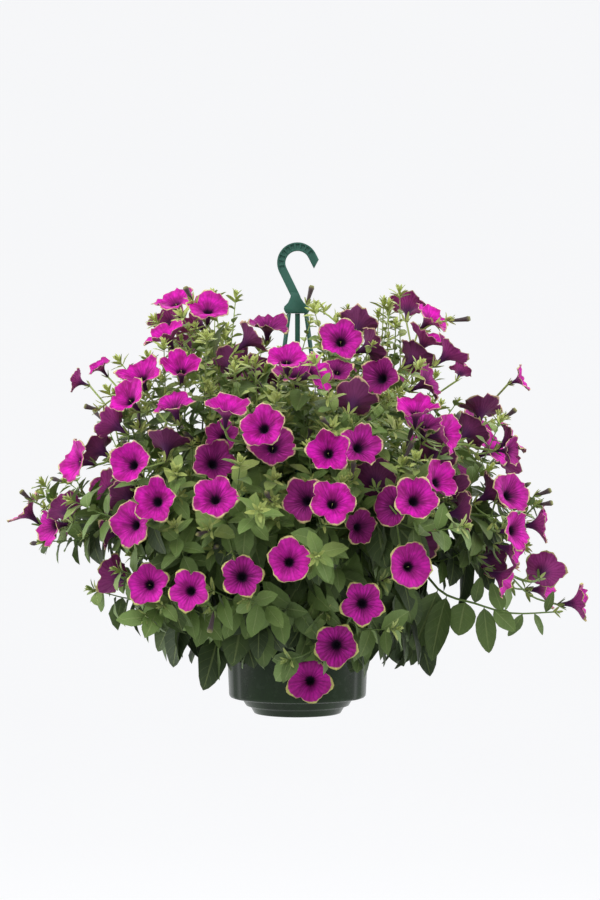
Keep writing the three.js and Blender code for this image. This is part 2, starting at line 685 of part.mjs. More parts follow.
function makeLeaf(leaf) {
  const skin = new Skin();
  const section = ({ place, side, up }, half, rib) => {
    const edge = (sign) => along(along(place, side, sign * half), up, 0.08 * half);
    return skin.ring([edge(1), edge(-1), along(place, up, -rib)]);
  };
  const [stalk] = leafStations(leaf, [PETIOLE.length / leaf.length]);
  const rings = [
    section(stalk, PETIOLE.halfWidth, PETIOLE.depth),
    ...leafStations(leaf, [0.34, 0.74]).map((station) => section(station, station.half, LEAF_THICKNESS)),
  ];
  // The petiole comes to a point inside the stem
  skin.fan([...rings[0]].reverse(), skin.add(along(leaf.base, leaf.ahead, -1)));
  rings.slice(1).forEach((next, i) => skin.band(rings[i], next));
  skin.fan(rings[rings.length - 1], skin.add(leafStations(leaf, [1])[0].place));
  return skin.solid();
}

function leafBalls(leaf) {
  const rows = Math.ceil(leaf.length / 8);
  const shares = Array.from({ length: rows }, (_, i) => 0.08 + (0.92 * (i + 0.5)) / rows);
  return leafStations(leaf, shares).flatMap(({ place, half, side }) => {
    const columns = half > 9 ? [-0.85, -0.3, 0.3, 0.85] : half > 4 ? [-0.7, 0, 0.7] : [0];
    return columns.map((column) => ({ place: along(place, side, column * half), radius: LEAF_ROOM }));
  });
}

function bloomBalls({ centre, direction, size }) {
  const across = along(UP, direction, -UP.dot(direction)).normalize();
  const over = direction.clone().cross(across);
  const balls = [0.3, 0.55, 0.8, 1].map((share) => ({
    place: along(centre, direction, -BLOOM_LENGTH * share * size),
    radius: 4,
  }));
  [[1, 0], [6, 9], [11, 17], [17, 24]].forEach(([count, radius]) => {
    for (let i = 0; i < count; i++) {
      const angle = (2 * Math.PI * i) / count;
      const place = along(along(centre, across, radius * size * Math.cos(angle)), over, radius * size * Math.sin(angle));
      balls.push({ place: along(place, direction, -1.5), radius: LEAF_ROOM });
    }
  });
  return balls;
}

function lineBalls(places, radius) {
  const spacing = 6;
  return places.slice(1).flatMap((place, i) => {
    const count = Math.ceil(place.distanceTo(places[i]) / spacing);
    return Array.from({ length: count }, (_, k) => ({ place: places[i].clone().lerp(place, (k + 1) / count), radius }));
  });
}

// The balls already placed, in boxes of one size so that only near ones are compared
class Room {
  constructor() {
    this.cells = new Map();
    this.size = 14;
  }
  key(x, y, z) {
    return `${x},${y},${z}`;
  }
  cell(place) {
    return [place.x, place.y, place.z].map((value) => Math.floor(value / this.size));
  }
  add(balls, owner) {
    balls.forEach((ball) => {
      const key = this.key(...this.cell(ball.place));
      if (!this.cells.has(key)) this.cells.set(key, []);
      this.cells.get(key).push({ ...ball, owner });
    });
  }
  isClear(balls, owner) {
    return balls.every((ball) => {
      const [x, y, z] = this.cell(ball.place);
      for (let i = x - 1; i <= x + 1; i++)
        for (let j = y - 1; j <= y + 1; j++)
          for (let k = z - 1; k <= z + 1; k++)
            for (const other of this.cells.get(this.key(i, j, k)) ?? [])
              if (other.owner !== owner && ball.place.distanceTo(other.place) < ball.radius + other.radius) return false;
      return true;
    });
  }
}

function outsidePot(balls) {
  return balls.every(({ place }) => Math.hypot(place.x, place.y) > RIM_RADIUS + 4 || place.z > POT_HEIGHT + 4);
}

// Leaves stand round their stem in turn. A leaf that would meet something is turned round the
// stem until it is clear, then made smaller, and is left out if it is clear nowhere.
const LEAF_TURNS = [0, 30, -30, 60, -60, 90, -90, 120, -120, 150, -150, 180];
const LEAF_SIZES = [1, 0.8, 0.65];

// A stem's leaves: on which part of its line, how many, how far they hang, from 0 to 1, and the
// lengths of the first and the last
function leafRows(shoot) {
  const span = shoot.root.distanceTo(shoot.tip);
  const low = clamp((260 - shoot.tip.z) / 120, 0, 1);
  const rows = [
    { stem: shoot.stem, from: 0.54, to: 1, count: Math.round(span / 42), hang: low, longest: 66, shortest: 48 },
  ];
  if (shoot.sideStem) {
    rows.push({ stem: shoot.sideStem, from: 0.12, to: 1, count: 6, hang: 1.6, longest: 70, shortest: 58 });
  }
  return rows;
}

function leafOn({ stem, from, to, count, hang, longest, shortest }, number, turn, size, key) {
  const share = mix(from, to, ((number + 0.6) / count) ** 0.8);
  const base = onPath(stem, share);
  const stemAhead = onPath(stem, share + 0.02).sub(onPath(stem, share - 0.02)).normalize();
  const outward = point(base.x, base.y, 0).normalize();
  const across = UP.clone().cross(outward);
  const side = along(across, stemAhead, -across.dot(stemAhead)).normalize();
  const over = stemAhead.clone().cross(side);
  const angle = radians(number * GOLDEN_ANGLE + turn + 30 * chance(key));
  const ahead = side.multiplyScalar(Math.cos(angle)).addScaledVector(over, Math.sin(angle));
  ahead.addScaledVector(stemAhead, 0.4 + 0.8 * share ** 2).addScaledVector(outward, 0.35).addScaledVector(UP, -0.15 - 0.9 * hang);
  ahead.normalize();
  const face = outward.addScaledVector(UP, Math.max(1.1 - 0.6 * hang, 0.2));
  face.applyAxisAngle(UP, 1.6 * (chance(key + 4) - 0.5));
  const up = along(face, ahead, -face.dot(ahead)).normalize();
  const length = size * mix(longest, shortest, share ** 2) * (0.85 + 0.3 * chance(key + 1));
  return {
    base,
    ahead,
    up,
    side: ahead.clone().cross(up),
    length,
    width: length * (0.5 + 0.1 * chance(key + 2)),
    arch: 20 + 30 * chance(key + 3),
  };
}

function growLeaves(shoots, room) {
  const leaves = [];
  shoots.forEach((shoot) => {
    leafRows(shoot).forEach((row, rowNumber) => {
      for (let number = 0; number < row.count; number++) {
        const key = 5000 + shoot.number * 200 + rowNumber * 100 + number * 5;
        const options = LEAF_SIZES.flatMap((size) =>
          LEAF_TURNS.map((turn) => leafOn(row, number, turn, size, key)),
        );
        const clear = options.find((leaf) => {
          const balls = leafBalls(leaf);
          return outsidePot(balls) && room.isClear(balls, row.stem);
        });
        if (!clear) continue;
        room.add(leafBalls(clear), "leaf");
        leaves.push({ shoot, leaf: clear });
      }
    });
  });
  return leaves;
}

// Assembly
function touches(a, b) {
  const first = a.boundingBox();
  const second = b.boundingBox();
  const apart = [0, 1, 2].some((i) => first.min[i] > second.max[i] || second.min[i] > first.max[i]);
  return !apart && !a.intersect(b).isEmpty();
}

const blooms = layOutBlooms();
const shoots = layOutShoots(blooms);
const room = new Room();
ARM_ANGLES.forEach((angle) => room.add(lineBalls(armPlaces(angle), 5), "arm"));
shoots.forEach((shoot) => {
  shoot.spray = `spray ${shoot.number}`;
  stalksOf(shoot).forEach((stalk, i) => {
    room.add(lineBalls(stalk, 2), shoot.spray);
    room.add(bloomBalls(shoot.own[i]), shoot.spray);
  });
});
// A stem leans aside by the least sway that keeps it clear of what is already there
shoots.forEach((shoot) => {
  const nearTip = 3;
  const isClear = (sway) => {
    bendStem(shoot, sway);
    const balls = lineBalls(shoot.stem, 2.5);
    return room.isClear(balls.slice(0, -nearTip)) && room.isClear(balls, shoot.spray);
  };
  if (!SWAYS.some(isClear)) bendStem(shoot, 0);
  room.add(lineBalls(shoot.stem, 2.5), shoot.stem);
});

addSideShoots(shoots, room);
const leaves = growLeaves(shoots, room);
const sprays = shoots.map(makeSpray);
const stems = shoots.map(makeStem);
const leafSolids = leaves.map(({ shoot, leaf }) => ({ shoot, solid: makeLeaf(leaf) }));
// A leaf that still cuts another shoot's solids is left out
const kept = [];
leafSolids.forEach(({ shoot, solid }) => {
  const others = [
    ...sprays,
    ...stems.filter((_, i) => i !== shoot.number),
    ...kept.filter((other) => other.shoot !== shoot).map((other) => other.solid),
  ];
  if (!others.some((other) => touches(solid, other))) kept.push({ shoot, solid });
});

const basket = new THREE.Group();
basket.position.z = -HOOK_BEARING_HEIGHT;
basket.add(meshOf("pot", makePot(), POT_PLASTIC));
basket.add(meshOf("soil", makeSoil(shoots.map(makeStemHole)), SOIL_BROWN));
basket.add(meshOf("hanger_hook", makeHook(), GREEN_PLASTIC));
ARM_ANGLES.forEach((angle, i) => basket.add(meshOf(`hanger_arm_${i + 1}`, makeArm(angle), GREEN_PLASTIC)));
shoots.forEach((shoot) => {
  const label = String(shoot.number + 1).padStart(2, "0");
  const own = kept.filter((leaf) => leaf.shoot === shoot).map(({ solid }) => solid);
  basket.add(meshOf(`leafy_stem_${label}`, joined([stems[shoot.number], ...own]), LEAF_GREEN));
  basket.add(meshOf(`bloom_spray_${label}`, sprays[shoot.number], PETAL_MAGENTA));
});

export default basket;
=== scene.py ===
import itertools
import math

import bmesh
import bpy
import numpy as np
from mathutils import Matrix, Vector, noise


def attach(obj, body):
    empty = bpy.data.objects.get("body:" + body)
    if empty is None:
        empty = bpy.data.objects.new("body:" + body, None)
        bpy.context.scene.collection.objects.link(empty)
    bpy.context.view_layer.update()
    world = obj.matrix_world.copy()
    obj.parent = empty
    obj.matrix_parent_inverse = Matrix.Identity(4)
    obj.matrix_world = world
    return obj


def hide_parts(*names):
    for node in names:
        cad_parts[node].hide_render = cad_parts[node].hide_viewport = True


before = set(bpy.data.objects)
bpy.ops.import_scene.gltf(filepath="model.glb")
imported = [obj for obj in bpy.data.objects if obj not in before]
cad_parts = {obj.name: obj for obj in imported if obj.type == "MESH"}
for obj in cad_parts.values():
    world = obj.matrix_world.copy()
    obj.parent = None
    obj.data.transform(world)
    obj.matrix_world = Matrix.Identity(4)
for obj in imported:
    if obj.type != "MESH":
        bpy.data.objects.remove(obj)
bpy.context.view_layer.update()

# Pot
# An injection-moulded polypropylene pot in dark green. Its wall runs down to a stepped foot, and
# the rim is turned out flat, with a slot and a shallow channel under it for each hanger arm.
MM = 0.001
HOOK_HEIGHT = 554  # the origin, where the hook bears, above the pot's foot in millimetres
# Half of the pot cut through, as radius and height: the foot's underside, the outside with its two
# steps, the rim, and the inside
POT_PROFILE = [
    (0, 2.5), (43.5, 2.5), (44, 2.2), (44.6, 0.4), (45.2, 0), (50.8, 0), (52, 0.4), (52.8, 1.6), (56, 7.2),
    (57, 8.5), (58.4, 9), (60.6, 9), (61.8, 9.5), (62.6, 10.8), (66.4, 17), (67.4, 18.4), (69, 19),
    (78.5, 19), (80.6, 19.7), (81.8, 21.2), (82.2, 24), (84, 66), (86.5, 124), (88, 155), (88.4, 156.5),
    (90, 156.5), (95, 156.5), (96.5, 156.5), (97, 157), (97, 159.5), (96.5, 160), (95, 160), (90, 160),
    (87, 160), (86, 159), (84.5, 124), (82, 66), (80, 21), (61, 21), (51, 4.5), (0, 4.5),
]
POT_SEGMENTS = 144
ARM_ANGLES = [90, 210, 330]  # where the hanger's arms meet the rim, in degrees
SLOT_RADII = (91.5, 93.5)
SLOT_HALF_ANGLE = 2.5
CHANNEL_DEPTH = 1.1
CHANNEL_HALF_ANGLE = 5.2
CHANNEL_EDGE_ANGLE = 2  # over how many degrees a channel reaches its full depth
CHANNEL_HEIGHTS = (19.5, 156)
WALL_RADIUS = 81  # just inside the outer wall at WALL_FOOT, and wider by WALL_SLOPE above it
WALL_FOOT = 20
WALL_SLOPE = 0.04


class Socket:
    """A node's output, which is added, multiplied and raised as a number is"""

    def __init__(self, graph, link):
        self.graph = graph
        self.link = link

    def maths(self, operation, first, second=0.0):
        return self.graph.node("ShaderNodeMath", {0: first, 1: second}, operation=operation)

    def __add__(self, other):
        return self.maths("ADD", self, other)

    __radd__ = __add__

    def __sub__(self, other):
        return self.maths("SUBTRACT", self, other)

    def __rsub__(self, other):
        return self.maths("SUBTRACT", other, self)

    def __mul__(self, other):
        return self.maths("MULTIPLY", self, other)

    __rmul__ = __mul__

    def __truediv__(self, other):
        return self.maths("DIVIDE", self, other)

    def __pow__(self, other):
        return self.maths("POWER", self, other)

    def sine(self):
        return self.maths("SINE", self)

    def cosine(self):
        return self.maths("COSINE", self)

    def absolute(self):
        return self.maths("ABSOLUTE", self)

    def fraction(self):
        return self.maths("FRACT", self)

    def maximum(self, other):
        return self.maths("MAXIMUM", self, other)

    def between(self, low, high):
        """0 below low, 1 above high, and smooth between them"""
        inputs = {"Value": self, "From Min": low, "From Max": high}
        return self.graph.node("ShaderNodeMapRange", inputs, interpolation_type="SMOOTHSTEP")


class Graph:
    """One material and the nodes that feed its shader"""

    def __init__(self, name, **constants):
        self.material = bpy.data.materials.new(name)
        self.material.use_nodes = True
        self.tree = self.material.node_tree
        self.shader = self.tree.nodes["Principled BSDF"]
        self.set(self.shader, {key.replace("_", " "): value for key, value in constants.items()})

    def set(self, node, inputs):
        for key, value in inputs.items():
            if isinstance(value, Socket):
                self.tree.links.new(value.link, node.inputs[key])
            else:
                node.inputs[key].default_value = value

    def node(self, kind, inputs=None, output=0, **settings):
        made = self.tree.nodes.new(kind)
        for key, value in settings.items():
            setattr(made, key, value)
        self.set(made, inputs or {})
        return Socket(self, made.outputs[output])

    def mix(self, share, first, second):
        """From one colour to another"""
        return self.node("ShaderNodeMix", {0: share, 6: first, 7: second}, 2, data_type="RGBA")

    def noise(self, scale, detail, stretch=(1, 1, 1), places=None):
        """Noise on the piece's own coordinates, or on other places"""
        places = places or self.node("ShaderNodeTexCoord", output=3)
        stretched = self.node("ShaderNodeVectorMath", {0: places, 1: stretch}, operation="MULTIPLY")
        inputs = {"Vector": stretched, "Scale": scale, "Detail": detail}
        return self.node("ShaderNodeTexNoise", inputs)

    def bump(self, height, distance, strength):
        return self.node("ShaderNodeBump", {"Height": height, "Distance": distance, "Strength": strength})

    def split(self, vector):
        """The vector's three parts"""
        node = self.node("ShaderNodeSeparateXYZ", {0: vector}).link.node
        return [Socket(self, output) for output in node.outputs]

    def finish(self, **inputs):
        self.set(self.shader, {key.replace("_", " "): value for key, value in inputs.items()})
        return self.material


def colour(code):
    """A colour written as RRGGBB, as Blender's linear values"""
    values = [int(code[i : i + 2], 16) / 255 for i in (0, 2, 4)]
    return (*[v / 12.92 if v <= 0.04045 else ((v + 0.055) / 1.055) ** 2.4 for v in values], 1)


def moulded_plastic(name, dark, light, roughness):
    """Glossy plastic with faint flow marks, dust in patches and fine scuffs"""
    graph = Graph(name, Specular_IOR_Level=0.2)
    flow = graph.noise(30, 2, (1, 1, 0.25))
    dust = graph.noise(120, 5).between(0.5, 0.75)
    fine = graph.noise(900, 4)
    base = graph.mix(flow.between(0.3, 0.7), colour(dark), colour(light))
    dusty = graph.mix(dust * 0.05, base, colour("5f6a58"))
    height = fine * 0.3 + flow
    return graph.finish(
        Base_Color=dusty,
        Roughness=roughness + dust * 0.12 + fine * 0.08,
        Normal=graph.bump(height, 0.0004, 0.25),
    )


def piece(name, bm, materials, replaced):
    """A finished piece of the object, from a bmesh in metres, in place of one of the model's nodes"""
    mesh = bpy.data.meshes.new(name)
    for face in bm.faces:
        face.smooth = True
    bm.to_mesh(mesh)
    bm.free()
    made = bpy.data.objects.new(name, mesh)
    bpy.context.scene.collection.objects.link(made)
    for material in materials:
        made.data.materials.append(material)
    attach(made, "root")
    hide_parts(replaced)


def clamped(value, low=0.0, high=1.0):
    return max(low, min(high, value))


def at_height(height):
    """A height above the pot's foot in millimetres, as metres above the origin"""
    return (height - HOOK_HEIGHT) * MM


def turned(bm, profile, segments):
    """A closed solid turned round the Z axis from a profile of radii and heights"""
    verts = [bm.verts.new((radius * MM, 0, at_height(height))) for radius, height in profile]
    edges = [bm.edges.new(pair) for pair in zip(verts, verts[1:])]
    full = {"angle": 2 * math.pi, "steps": segments, "use_merge": True}
    bmesh.ops.spin(bm, geom=verts + edges, cent=(0, 0, 0), axis=(0, 0, 1), **full)
    bmesh.ops.remove_doubles(bm, verts=bm.verts, dist=1e-6)
    bmesh.ops.recalc_face_normals(bm, faces=bm.faces)


def arm_offset(place):
    """How far round the pot a place is from the nearest arm, in degrees"""
    angle = math.degrees(math.atan2(place.y, place.x))
    return min(abs((angle - arm + 180) % 360 - 180) for arm in ARM_ANGLES)


def make_pot():
    bm = bmesh.new()
    turned(bm, POT_PROFILE, POT_SEGMENTS)
    low, high = (at_height(height) for height in CHANNEL_HEIGHTS)
    for vert in bm.verts:
        across = math.hypot(vert.co.x, vert.co.y)
        above = vert.co.z / MM + HOOK_HEIGHT - WALL_FOOT
        outside = across > (WALL_RADIUS + above * WALL_SLOPE) * MM
        if outside and low < vert.co.z < high:
            depth = clamped((CHANNEL_HALF_ANGLE - arm_offset(vert.co)) / CHANNEL_EDGE_ANGLE)
            vert.co.xy *= (across - CHANNEL_DEPTH * MM * depth) / across
    in_slot = []
    for face in bm.faces:
        middle = face.calc_center_median()
        between = SLOT_RADII[0] * MM < math.hypot(*middle.xy) < SLOT_RADII[1] * MM
        if between and arm_offset(middle) < SLOT_HALF_ANGLE:
            in_slot.append(face)
    bmesh.ops.delete(bm, geom=in_slot, context="FACES")
    for degrees in ARM_ANGLES:
        toward = Vector((math.cos(math.radians(degrees)), math.sin(math.radians(degrees))))
        open_edges = [edge for edge in bm.edges if edge.is_boundary]
        sides = [edge for edge in open_edges if edge.verts[0].co.xy.normalized().dot(toward) > 0.9]
        bmesh.ops.bridge_loops(bm, edges=sides)
    plastic = moulded_plastic("pot plastic", "10230b", "1a3013", 0.2)
    piece("fine_pot", bm, [plastic], "pot")


make_pot()

# Where the plant grows
# A petunia's shoots root in the soil, rise, and lean out over the rim to a round canopy. This
# section finds each bloom's place, each stem's bend and each large leaf's turn, as they are in
# the solids that the finer pieces replace. Lengths are in millimetres above the pot's foot.
CANOPY_RADIUS = 320
CANOPY_WIDEST_HEIGHT = 230
CANOPY_RISE = 285
CANOPY_DROP = 215
CANOPY_DEPTH = 0.9  # from front to back, as a share of its width
SOIL_HEIGHT = 142
RIM_RADIUS = 97
POT_HEIGHT = 160
POT_FRONT = 135  # a bloom that hangs before the pot is this far in front of the pot's axis
BLOOM_LENGTH = 32
BLOOM_RADIUS = 26
FACE_ROOM = 23  # how far round its middle a bloom's face keeps clear of other faces
FACE_REACH = 27  # how far it keeps clear of other blooms' stalks, before STALK_ROOM is added
STALK_ROOM = 8
FEET_APART = 14
NEIGHBOUR_REACH = 110  # blooms farther apart than this can't meet
SPREAD_ROUNDS = 60
SPREAD_STEP = 2
STEM_ROOM = 2.5
JOIN_GAP = 0.3  # between a stem and its bloom's stalk, and between the yoke and an arm
UP = np.array([0.0, 0.0, 1.0])
EYE = np.array([3.0, -2700.0, 315.0])  # where the front view is seen from

# The open blooms of each shoot on the near side, as they show from the front: across and
# height, then how far the bloom is turned to the right and tilted up, in degrees, how far
# behind the canopy's near face it lies, and its size where it isn't 1
NEAR_SHOOTS = [
    [(-107, 491, 5, 52), (-128, 472, -110, 35, 40), (-160, 458, -50, 60, 30)],
    [(-190, 410, -20, 48), (-140, 419, 0, 50), (-207, 381, -35, 35), (-151, 376, -30, 62, 10),
     (-240, 419, -60, 50, 30, 0.65)],
    [(-203, 300, -25, 15), (-271, 303, -60, 10, 10), (-244, 320, -120, 30, 90), (-155, 330, 170, 60, 60),
     (-227, 350, -120, 30, 60), (-268, 399, -100, 20, 60, 0.65)],
    [(-172, 255, -15, 12), (-202, 226, -32, 8), (-209, 264, -140, 30, 90), (-233, 214, -100, 0, 60, 0.7)],
    [(-301, 223, -55, -5, 20), (-280, 250, -150, 40, 60), (-331, 246, -90, 42, 30)],
    [(-181, 154, -12, 8), (-224, 165, -130, 10, 60), (-131, 147, -10, 10)],
    [(-100, 261, -5, 28), (-100, 302, 10, 20, 60), (-67, 164, 0, 10)],
    [(-9, 182, 5, 10), (7, 256, -20, 12, 20), (43, 255, 5, 25), (77, 222, 30, 0, 70, 0.8)],
    [(-43, 345, -12, 20), (-29, 322, 5, 25, 30), (-85, 371, 10, 66), (-91, 334, -10, 25, 80, 0.8)],
    [(36, 314, -5, 15), (77, 322, 20, 22), (70, 380, 160, 40, 60), (97, 404, -25, 15, 40)],
    [(-13, 431, 0, 55), (-3, 414, -10, 60, 70), (27, 410, 60, 20, 30), (49, 413, 10, 40, 60, 0.65)],
    [(-35, 471, 10, 66, 110), (-51, 453, 100, 40, 100), (-79, 422, 180, 35, 140), (-44, 408, 150, 20, 160)],
    [(52, 450, 0, 25, 40), (76, 470, 150, 45, 60), (94, 441, 110, 20, 70)],
    [(158, 454, 80, 60, 80), (133, 494, 170, 58, 60), (164, 478, 60, 45, 50), (188, 436, 95, 40, 60),
     (163, 400, 70, 25, 50), (146, 428, 130, 30, 110)],
    [(143, 370, 5, 60), (153, 353, 10, 62, 50), (185, 336, 60, 10, 30), (169, 311, 150, 20, 110),
     (220, 370, 170, 60, 90), (211, 341, 130, 30, 100), (262, 334, 85, 38, 60), (259, 314, 60, 0, 40, 0.7)],
    [(143, 257, 15, 18), (112, 248, -35, 10, 30), (93, 281, 180, 20, 90), (136, 176, 12, 8)],
    [(175, 280, 45, 20, 10), (195, 266, 120, 10, 70), (205, 240, 100, 5, 60), (148, 202, 140, 0, 90)],
    [(239, 267, 100, 30, 60), (260, 264, 40, 20, 40), (267, 219, 50, 5), (298, 226, 82, 5, 30)],
    [(267, 192, 70, -15, 40), (238, 183, 130, -10, 80), (254, 158, 80, -25, 30), (304, 147, 75, 0, 20),
     (297, 173, 160, 20, 60), (344, 132, 80, 5, 10)],
    [(79, 131, 5, 5), (45, 80, -8, 0), (14, 38, -5, 5)],
]
# The far side repeats shoots of the near side: which one, and how far round the pot it is turned
FAR_SHOOTS = [(1, 200), (13, 162), (2, 175), (9, 170), (15, 182), (3, 192), (17, 180)]
SWAYS = [0, 20, -20, 40, -40, 60, -60, 85, -85]
STEM_STEPS = 6
TIP_DEPTH = 8
TIP_BESIDE_RIM = 14  # a tip lower than TIP_ABOVE_RIM over the rim lies at least this far beside it
TIP_ABOVE_RIM = 25
LEVEL_TIP_HEIGHT = 250  # a tip at this height points level, a higher one up and a lower one down
SOIL_RINGS = [24, 44, 64]
SIDE_SHOOTS = 15
SIDE_SHOOT_TOP = 330  # only stems whose tips are lower than this have side shoots
GOLDEN_ANGLE = 137.5
YOKE_FOOT = 479
LEAF_TURNS = [0, 30, -30, 60, -60, 90, -90, 120, -120, 150, -150, 180]
LEAF_SIZES = [1, 0.8, 0.65]
LEAF_ROOM = 3
LEAF_PETIOLE = 0.07  # a leaf's stalk, as a share of its length
BALL_STEP = 6
BALL_REACH = 25  # no two balls farther apart than this can meet


def chance(key):
    """A number from 0 to 1 that is always the same for the same whole number. Each kind of leaf,
    twig and bloom has its own range of these keys."""
    full = 0xFFFFFFFF
    bits = ((key ^ 0x9E3779B9) * 0x85EBCA6B) & full
    bits = ((bits ^ (bits >> 13)) * 0xC2B2AE35) & full
    return (bits ^ (bits >> 16)) / (full + 1)


def vec(x, y, z):
    return np.array([x, y, z], float)


def unit(vector):
    return vector / math.sqrt(vector @ vector)


def apart(a, b):
    return math.dist(a, b)


def angle_between(a, b):
    return math.acos(clamped(float(unit(a) @ unit(b)), -1.0))


def mixed(a, b, share):
    return a + (b - a) * share


def rotated(vector, axis, angle):
    c, s = math.cos(angle), math.sin(angle)
    return vector * c + np.cross(axis, vector) * s + axis * (axis @ vector) * (1 - c)


def bezier(start, first, second, end, t):
    s = 1 - t
    return start * s**3 + first * (3 * s * s * t) + second * (3 * s * t * t) + end * t**3


def on_path(places, share):
    """A place on a path of straight stretches, by its share of them"""
    stretch = clamped(share) * (len(places) - 1)
    before = min(int(stretch), len(places) - 2)
    return mixed(places[before], places[before + 1], stretch - before)


def heading_on(places, share, step):
    """The direction of a path about a place on it"""
    return unit(on_path(places, share + step) - on_path(places, share - step))


def level(angle):
    """The direction of an angle round the pot"""
    return vec(math.cos(angle), math.sin(angle), 0)


def away_from_axis(place):
    return unit(vec(place[0], place[1], 0))


def from_axis(place):
    return math.hypot(place[0], place[1])


def canopy_radius(height):
    """How far the canopy reaches from the pot's axis at a height"""
    above = max(height - CANOPY_WIDEST_HEIGHT, 0) / CANOPY_RISE
    below = max(CANOPY_WIDEST_HEIGHT - height, 0) / CANOPY_DROP
    share = 1 - min(above, 1) ** 2.4 - min(below, 1) ** 1.7
    return CANOPY_RADIUS * max(share, 0) ** 0.5


def near_bloom(shoot, across, height, turn, tilt, behind=0, size=1):
    """A bloom of the near side, on the canopy's near face or in front of the pot"""
    pot_front = POT_FRONT if height < POT_HEIGHT and abs(across) < RIM_RADIUS else 0
    reach = math.sqrt(max(canopy_radius(height) ** 2 - across**2, 0))
    turn, tilt = math.radians(turn), math.radians(tilt)
    direction = vec(math.sin(turn) * math.cos(tilt), -math.cos(turn) * math.cos(tilt), math.sin(tilt))
    y = behind - max(CANOPY_DEPTH * reach, pot_front)
    return {"shoot": shoot, "seen": (across, height), "y": y, "size": size, "direction": direction}


def place_bloom(bloom):
    """Puts the bloom at its depth, where it shows at its place in the front view"""
    stretch = (bloom["y"] - EYE[1]) / -EYE[1]
    x, z = (mixed(EYE[axis], seen, stretch) for axis, seen in zip((0, 2), bloom["seen"]))
    bloom["centre"] = vec(x, bloom["y"], z)
    bloom["foot"] = bloom["centre"] - bloom["direction"] * BLOOM_LENGTH * bloom["size"]


def spread_blooms(blooms):
    """Moves blooms that would meet apart in depth"""
    for _ in range(SPREAD_ROUNDS):
        for bloom in blooms:
            place_bloom(bloom)
        for i, a in enumerate(blooms):
            for b in blooms[i + 1 :]:
                if apart(a["centre"], b["centre"]) > NEIGHBOUR_REACH:
                    continue
                meets = (
                    apart(a["centre"], b["centre"]) < (a["size"] + b["size"]) * FACE_ROOM
                    or apart(a["centre"], b["foot"]) < a["size"] * FACE_REACH + STALK_ROOM
                    or apart(a["foot"], b["centre"]) < b["size"] * FACE_REACH + STALK_ROOM
                    or apart(a["foot"], b["foot"]) < FEET_APART
                )
                if meets:
                    step = SPREAD_STEP if a["y"] < b["y"] else -SPREAD_STEP
                    a["y"] -= step
                    b["y"] += step
    for bloom in blooms:
        place_bloom(bloom)


def lay_out_blooms():
    """The near blooms, moved apart, and the far ones that repeat some of them"""
    near = [near_bloom(number, *bloom) for number, shoot in enumerate(NEAR_SHOOTS) for bloom in shoot]
    spread_blooms(near)
    far = []
    for i, (source, degrees) in enumerate(FAR_SHOOTS):
        angle = math.radians(degrees)
        for bloom in near:
            if bloom["shoot"] == source:
                moved = {key: rotated(bloom[key], UP, angle) for key in ("direction", "centre", "foot")}
                far.append({**bloom, "shoot": len(NEAR_SHOOTS) + i, **moved})
    return near + far


def lay_out_shoots(blooms):
    """Each shoot's tip lies just inside the feet of its blooms, and its root in one of three rings,
    with the highest shoots in the innermost"""
    shoots = []
    for number in range(len(NEAR_SHOOTS) + len(FAR_SHOOTS)):
        own = [bloom for bloom in blooms if bloom["shoot"] == number]
        middle = sum((bloom["foot"] for bloom in own), vec(0, 0, 0)) / len(own)
        tip = middle - unit(middle - UP * CANOPY_WIDEST_HEIGHT) * TIP_DEPTH
        clear = RIM_RADIUS + TIP_BESIDE_RIM
        if tip[2] < POT_HEIGHT + TIP_ABOVE_RIM and from_axis(tip) < clear:
            tip[:2] *= clear / from_axis(tip)
        lift = tip[2] - LEVEL_TIP_HEIGHT
        slope = math.radians(clamped(lift * (0.42 if lift < 0 else 0.22), -75, 50))
        azimuth = math.atan2(tip[1], tip[0])
        arrival = level(azimuth) * math.cos(slope) + UP * math.sin(slope)
        own.sort(key=lambda bloom: angle_between(bloom["foot"] - tip, arrival))
        side = np.cross(UP, level(azimuth))
        shoot = {"number": number, "own": own, "tip": tip, "azimuth": azimuth, "arrival": arrival}
        shoots.append({**shoot, "side": side})
    by_height = sorted(shoots, key=lambda shoot: -shoot["tip"][2])
    per_ring = math.ceil(len(shoots) / len(SOIL_RINGS))
    for ring, radius in enumerate(SOIL_RINGS):
        members = by_height[ring * per_ring : (ring + 1) * per_ring]
        members.sort(key=lambda shoot: shoot["azimuth"])
        evens = [-math.pi + 2 * math.pi * (i + 0.5) / len(members) for i in range(len(members))]
        offset = sum(shoot["azimuth"] - even for shoot, even in zip(members, evens)) / len(members)
        for shoot, even in zip(members, evens):
            angle = even + offset
            shoot["root"] = level(angle) * radius + UP * (SOIL_HEIGHT + 6)
    return shoots


def bend_stem(shoot, sway):
    """A stem rises from its root, and arrives at its tip in the tip's direction"""
    root, tip = shoot["root"], shoot["tip"]
    span = apart(root, tip)
    first = root + UP * (0.35 * span + max(0, 200 - tip[2]) * 0.6) + shoot["side"] * sway
    second = tip - shoot["arrival"] * 0.38 * span
    shoot["stem"] = [bezier(root, first, second, tip, i / STEM_STEPS) for i in range(STEM_STEPS + 1)]


